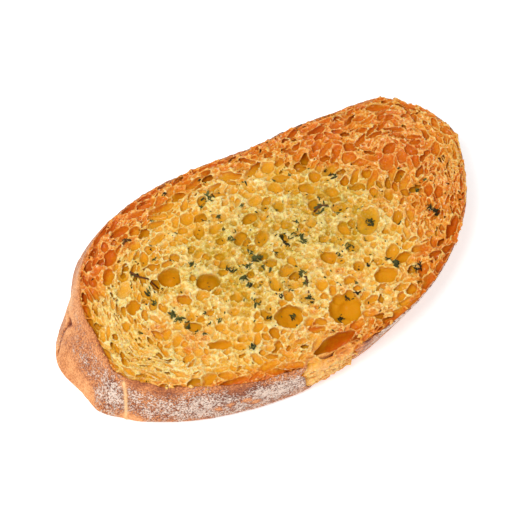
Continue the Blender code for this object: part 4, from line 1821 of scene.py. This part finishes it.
@dataclass
class Strands:
    """Thin strands of crumb, drawn out along the rim as the loaf was shaped.

    Attributes:
        ground: The surface that they run along.
        radius: Their mean radius.
        sides: How many sides a strand has, an even number.
        bridge: Over how many points of its path a strand's height is evened out, an odd number.
        seed: The seed of their random numbers.
    """

    ground: Ground
    radius: float = 0.27
    sides: int = 6
    bridge: int = 13
    seed: int = 31

    def build(self) -> bpy.types.Object:
        """Builds the strands of every zone.

        Returns:
            The mesh object, with no material.
        """
        rng = np.random.default_rng(self.seed)
        copies = Copies()
        # A ridge value of 0.6 gives the strands the material's painted highlight.
        plain = {"deep": 0.12, "enclosed": 0.0, "crevice": 0.0, "ridge": 0.6, "soaked": 0.0, "torn": 0.0}
        for zone in STRAND_ZONES:
            paints = {**plain, "rim": zone.rim, "toast": zone.toast}
            for _ in range(zone.count):
                tube = self._tube(self._path(rng, zone), self.radius * rng.uniform(0.7, 1.4))
                copies.add(tube, np.zeros(3), np.eye(3), np.ones(3), paints)
        return copies.joined("crumb_strands")

    def _path(self, rng: np.random.Generator, zone: StrandZone) -> Array:
        """The middle line of one strand, which bridges the pits under it."""
        form = self.ground.form
        first, last = (
            int(np.argmin(np.hypot(*(form.rim - np.array(place)).T))) for place in (zone.start, zone.end)
        )
        span = (last - first) % form.around
        length = int(rng.uniform(0.1, 0.36) * span)
        index = (first + int(rng.uniform(0, span - length)) + np.arange(length)) % form.around
        inward = rng.uniform(zone.nearest, zone.farthest)
        inward = inward + rng.uniform(-1.5, 1.5) * np.linspace(0, 1, length)
        inward = np.maximum(inward + 0.7 * uneven(rng, (length,), 0.35, 4.0), 0.6)
        flat = form.rim[index] - form.outward[index] * inward[:, None]
        heights = np.array([self.ground.height(x, y) for x, y in flat])
        padded = np.pad(heights, self.bridge // 2, mode="edge")
        sagging = np.convolve(padded, np.ones(self.bridge) / self.bridge, "valid")
        return np.column_stack([flat, np.minimum(sagging - 0.02, form.thickness + 0.6)])

    def _tube(self, path: Array, radius: float) -> Shape:
        """A closed tube along the path, tapering towards both ends."""
        ahead = np.gradient(path, axis=0)
        ahead /= np.linalg.norm(ahead, axis=1, keepdims=True)
        aside = np.cross((0.0, 0.0, 1.0), ahead)
        aside /= np.linalg.norm(aside, axis=1, keepdims=True)
        over = np.cross(ahead, aside)
        reach = radius * np.sin(np.linspace(0.05, math.pi - 0.05, len(path))) ** 0.4
        angles = np.arange(self.sides) * math.tau / self.sides
        rings = path[:, None] + reach[:, None, None] * (
            np.cos(angles)[:, None] * aside[:, None] + np.sin(angles)[:, None] * over[:, None]
        )
        ring, side = np.meshgrid(np.arange(len(path) - 1), np.arange(self.sides), indexing="ij")
        here, beside = ring * self.sides + side, ring * self.sides + (side + 1) % self.sides
        walls = np.stack([here, beside, beside + self.sides, here + self.sides], axis=-1).reshape(-1, 4)
        cap = np.array([(0, k + 1, k + 2, k + 3) for k in range(0, self.sides - 2, 2)])
        far_cap = cap + (len(path) - 1) * self.sides
        return Shape(rings.reshape(-1, 3), np.concatenate([walls, cap[:, ::-1], far_cap]))


@dataclass
class Herbs:
    """Dried herbs on the cut face: leaf flakes, bits of stem and fine specks.

    Attributes:
        ground: The surface that they lie on.
        specks: How many fine specks there are.
        tilt: How unevenly the flakes lie, in radians.
        lift: How high over the crumb a flake's middle lies.
        stem: How thick a stem is at its root.
    """

    ground: Ground
    specks: int = 330
    tilt: float = 0.75
    lift: float = 0.2
    stem: float = 0.65

    def __post_init__(self) -> None:
        """Takes over the ground's random numbers."""
        self.rng = self.ground.rng

    def build(self) -> list[bpy.types.Object]:
        """Builds the flakes, the stems and the specks.

        Returns:
            The three mesh objects, with no material.
        """
        return [self._leaves(), self._stems(), self._fine_specks()]

    def _leaf_shape(self, curl: float, fold: float) -> Shape:
        """A leaf flake of length 1: pointed, folded along its middle, curled, with a little thickness."""
        bpy.ops.mesh.primitive_grid_add(x_subdivisions=5, y_subdivisions=2, size=1)
        leaf = bpy.context.object
        for vertex in leaf.data.vertices:
            along = vertex.co.x
            edge = 1.0 + self.rng.uniform(-0.25, 0.25)
            width = max(0.06, (1 - (2 * along) ** 2) ** 0.6) * edge
            across = vertex.co.y * width
            vertex.co = (along, across * 0.5, curl * along * along + fold * abs(across))
        solid = leaf.modifiers.new("thickness", "SOLIDIFY")
        solid.thickness = 0.05
        bpy.ops.object.modifier_apply(modifier=solid.name)
        return taken_shape(leaf)

    def _leaves(self) -> bpy.types.Object:
        """The leaf flakes, in their clusters."""
        bends = ((0.5, 0.3), (-0.4, 0.5), (0.2, -0.4), (-0.2, 0.2))
        shapes = [self._leaf_shape(curl, fold) for curl, fold in bends]
        copies = Copies()
        for herb in HERBS:
            for _ in range(2 * herb.count + 2):
                x, y = self.rng.normal((herb.x, herb.y), 0.5 * herb.spread)
                place, turn, _ = self.ground.resting(x, y, self.tilt)
                length = herb.length * self.rng.uniform(0.4, 1.1)
                size = np.array((length, length * self.rng.uniform(0.3, 0.7), length * 0.6))
                place[2] += self.lift
                shade = 0.55 * herb.charred + self.rng.uniform(0.0, 0.45)
                copies.add(shapes[self.rng.integers(len(shapes))], place, turn, size, {"shade": shade})
        return copies.joined("herb_leaves")

    def _stems(self) -> bpy.types.Object:
        """The bits of stem, each a thin tapering rod along its points."""
        bpy.ops.mesh.primitive_cylinder_add(vertices=6, radius=0.5, depth=1)
        rod = taken_shape(bpy.context.object)
        copies = Copies()
        for path in TWIGS:
            ends = [self.ground.resting(x, y, 0.0)[0] + np.array((0, 0, 0.3)) for x, y in path]
            for k, (start, end) in enumerate(zip(ends, ends[1:])):
                span = Vector(end - start)
                turn = np.array(span.to_track_quat("Z", "Y").to_matrix())
                thick = self.stem * (1 - 0.15 * k)
                size = np.array((thick, thick, span.length * 1.06))
                copies.add(rod, (start + end) / 2, turn, size, {"shade": 0.75})
        return copies.joined("herb_stems")

    def _fine_specks(self) -> bpy.types.Object:
        """Crumbled bits scattered over the cut face, most in its middle."""
        shapes = [lump_shape(self.rng) for _ in range(3)]
        copies = Copies()
        while len(copies.points) < self.specks:
            x, y = self.rng.normal((2.0, 1.0), (27.0, 15.0))
            if (x / 60) ** 2 + (y / 33) ** 2 > 1:
                continue
            place, turn, _ = self.ground.resting(x, y, 0.3)
            length = 0.5 + 0.9 * self.rng.random() ** 2
            size = length * np.array((1.0, self.rng.uniform(0.25, 0.5), 0.3))
            place[2] += 0.05
            paints = {"shade": self.rng.uniform(0.1, 0.9)}
            copies.add(shapes[self.rng.integers(len(shapes))], place, turn, size, paints)
        return copies.joined("herb_specks")


# -------- Studio --------


@dataclass
class Studio:
    """A plain white floor, soft light and a camera that looks down on the slice.

    Attributes:
        shift: From the outline's own coordinates to the CAD model's.
        target: The place on the slice that the camera looks at.
        azimuth: Degrees by which the camera stands to the side of the slice's near side.
        elevation: Degrees by which it looks down.
        distance: How far it stands from its target.
        lens: Its focal length.
        room: The strength of the light from all round.
        lamp: Where the lamp stands.
        lamp_size: The side of its square.
        watts: Its power.
        glow: How much the floor shines, which keeps the shadow on it faint.
    """

    shift: Array
    target: Place = (-1.6, 4.0, 10.0)
    azimuth: float = -27.0
    elevation: float = 60.0
    distance: float = 750.0
    lens: float = 173.08
    room: float = 0.6
    lamp: Place = (-260, -160, 620)
    lamp_size: float = 200
    watts: float = 2.9
    glow: float = 0.5

    def build(self) -> None:
        """Adds all of it."""
        self._floor()
        self._lights()
        self._camera()

    def _floor(self) -> None:
        """A wide white floor under the slice."""
        bpy.ops.mesh.primitive_plane_add(size=6.0, location=(0, 0, 0))
        floor = bpy.context.object
        floor.name = "floor"
        recipe = Recipe("floor_white")
        recipe.put("Emission Color", (1, 1, 1, 1))
        recipe.put("Emission Strength", self.glow)
        recipe.finish(linear(232, 232, 232), 0.9, None, 0.0)
        floor.data.materials.append(recipe.material)

    def _lights(self) -> None:
        """A bright white room and one large square soft lamp, aimed at the slice."""
        world = bpy.data.worlds.new("room")
        world.use_nodes = True
        background = world.node_tree.nodes["Background"]
        background.inputs["Color"].default_value = (1, 1, 1, 1)
        background.inputs["Strength"].default_value = self.room
        bpy.context.scene.world = world
        light = bpy.data.lights.new("key", "AREA")
        light.size = self.lamp_size * METRES
        light.energy = self.watts
        lamp = bpy.data.objects.new("key", light)
        lamp.location = Vector(self.lamp) * METRES
        lamp.rotation_euler = (-lamp.location).to_track_quat("-Z", "Y").to_euler()
        bpy.context.scene.collection.objects.link(lamp)

    def _camera(self) -> None:
        """The camera, at the azimuth and elevation given."""
        azimuth, elevation = math.radians(self.azimuth), math.radians(self.elevation)
        back = Vector((
            math.sin(azimuth) * math.cos(elevation),
            -math.cos(azimuth) * math.cos(elevation),
            math.sin(elevation),
        ))
        data = bpy.data.cameras.new("camera")
        data.lens = self.lens
        data.sensor_width = 36.0
        camera = bpy.data.objects.new("camera", data)
        camera.location = (Vector(self.target) + Vector(self.shift) + back * self.distance) * METRES
        camera.rotation_euler = back.to_track_quat("Z", "Y").to_euler()
        bpy.context.scene.collection.objects.link(camera)
        bpy.context.scene.camera = camera
        bpy.context.scene.view_settings.view_transform = "Standard"


# -------- Putting it together --------

TOASTED: tuple[Patch, ...] = table(Patch, (
    (-50, 18, 11, 7, 55, 0.75), (-37, 27, 14, 8, 30, 0.75),
    (-17, 33, 14, 7, 5, 0.45), (7, 33, 13, 7, 0, 0.5), (27, 28, 12, 9, 0, 0.65),
    (44, 24, 17, 14, 0, 0.85), (4.5, -35.5, 7, 3.5, 8, 0.5), (58, 14, 10, 14, 0, 0.6),
    (48, 3, 14, 15, 0, 0.5), (58, -4, 8, 8, 0, 0.4), (48, -15, 14, 9, 50, 0.55),
    (36, -25, 12, 6, 25, 0.4), (8, -33, 16, 7, 5, 0.45), (16, -20, 5, 4, 0, 0.4),
    (-22, -35, 12, 5, -15, 0.5), (-44, -24, 12, 4, -35, 0.12),
    (-40, -10, 5, 3, 20, 0.4), (-32, -16, 7, 4, -30, 0.5),
    (-12, -29, 8, 4, -10, 0.4), (-31.3, -2.6, 3, 2, 20, 0.6), (-43.4, -7.6, 2.4, 1.8, 20, 0.5),
    (-36, -18.8, 2.6, 1.6, -30, 0.5), (-32.8, -22.2, 2.4, 1.6, 0, 0.5), (-0.7, -27.5, 2.6, 2, 0, 0.7),
    (2.6, -22.6, 1.8, 1.6, 0, 0.6), (10.7, -9.6, 2.4, 1.6, 30, 0.5), (12.4, 1.9, 1.8, 1.5, 0, 0.4),
    (15.2, -14.9, 1.8, 1.5, 0, 0.8),
))
# Where the butter soaked in
SOAKED: tuple[Patch, ...] = table(Patch, (
    (0, 5, 34, 15, 5, 0.8), (24, -3, 14, 12, 0, 0.5), (-14, 2, 12, 10, 0, 0.3),
    (-8, -13, 14, 8, 0, 0.45),
))
TOASTED_UNDERSIDE: tuple[Patch, ...] = table(Patch, (
    (-45, 5, 24, 22, 60, 0.45), (0, 20, 30, 14, 0, 0.5),
    (40, -4, 22, 22, 20, 0.55), (-6, -22, 26, 9, -5, 0.4),
))


def main() -> None:
    """Builds every piece of the slice and the studio round it."""
    logging.basicConfig(level=logging.INFO, format="%(message)s")
    bpy.ops.object.select_all(action="DESELECT")
    form = SliceForm()
    Studio(form.shift).build()

    open_foam = Foam(
        tries=34000, smallest=0.4, largest=2.3, falling=3.0, deepest=1.0, crowding=0.15,
        wall=0.34, wall_uneven=0.34, stretch=3.0, calm=0.13,
    )
    close_foam = Foam(
        tries=9000, smallest=0.6, largest=2.4, falling=2.6, deepest=1.2, crowding=0.3,
        wall=0.5, wall_uneven=0.4, stretch=1.4, calm=1.0,
    )
    cut_face = Crumb(
        form, "crumb_cut_face", Side.CUT_FACE, open_foam,
        step=0.27, low=12.5, high=21.6, seed=7, most=196_000, bubbles=LARGE_BUBBLES,
    )
    underside = Crumb(
        form, "crumb_underside", Side.UNDERSIDE, close_foam,
        step=0.36, low=-0.7, high=6.5, seed=11, most=120_000,
    )
    torn_side = TornCrumb(
        form, "crumb_torn_side", Side.CUT_FACE, open_foam,
        step=0.25, low=0.6, high=14.0, seed=19, most=60_000,
    )
    slabs = []
    for crumb in (cut_face, underside, torn_side):
        slabs.append(crumb.build())
        crumb.dress(slabs[-1])

    ground = Ground(form, slabs[0], np.random.default_rng(23))
    grains = Grains(ground).build()
    strands = Strands(ground).build()
    herbs = Herbs(ground).build()
    crust = Crust(form).build()

    buttered = CrumbFinish("buttered_crumb", butter=0.6).material()
    dry = CrumbFinish("dry_crumb", butter=0.0).material()
    leaf = HerbFinish("dried_leaf", ((124, 122, 64), (78, 80, 36), (58, 50, 26), (40, 27, 16))).material()
    stem = HerbFinish("dried_stem", ((178, 118, 66), (128, 78, 40), (70, 42, 22))).material()
    baked = CrustFinish("floured_crust").material()
    pieces = (*slabs, grains, strands, crust, *herbs)
    for piece, finish in zip(pieces, (buttered, dry, dry, buttered, buttered, baked, leaf, stem, leaf)):
        finish_piece(piece, finish, form)


if __name__ == "__main__":
    main()
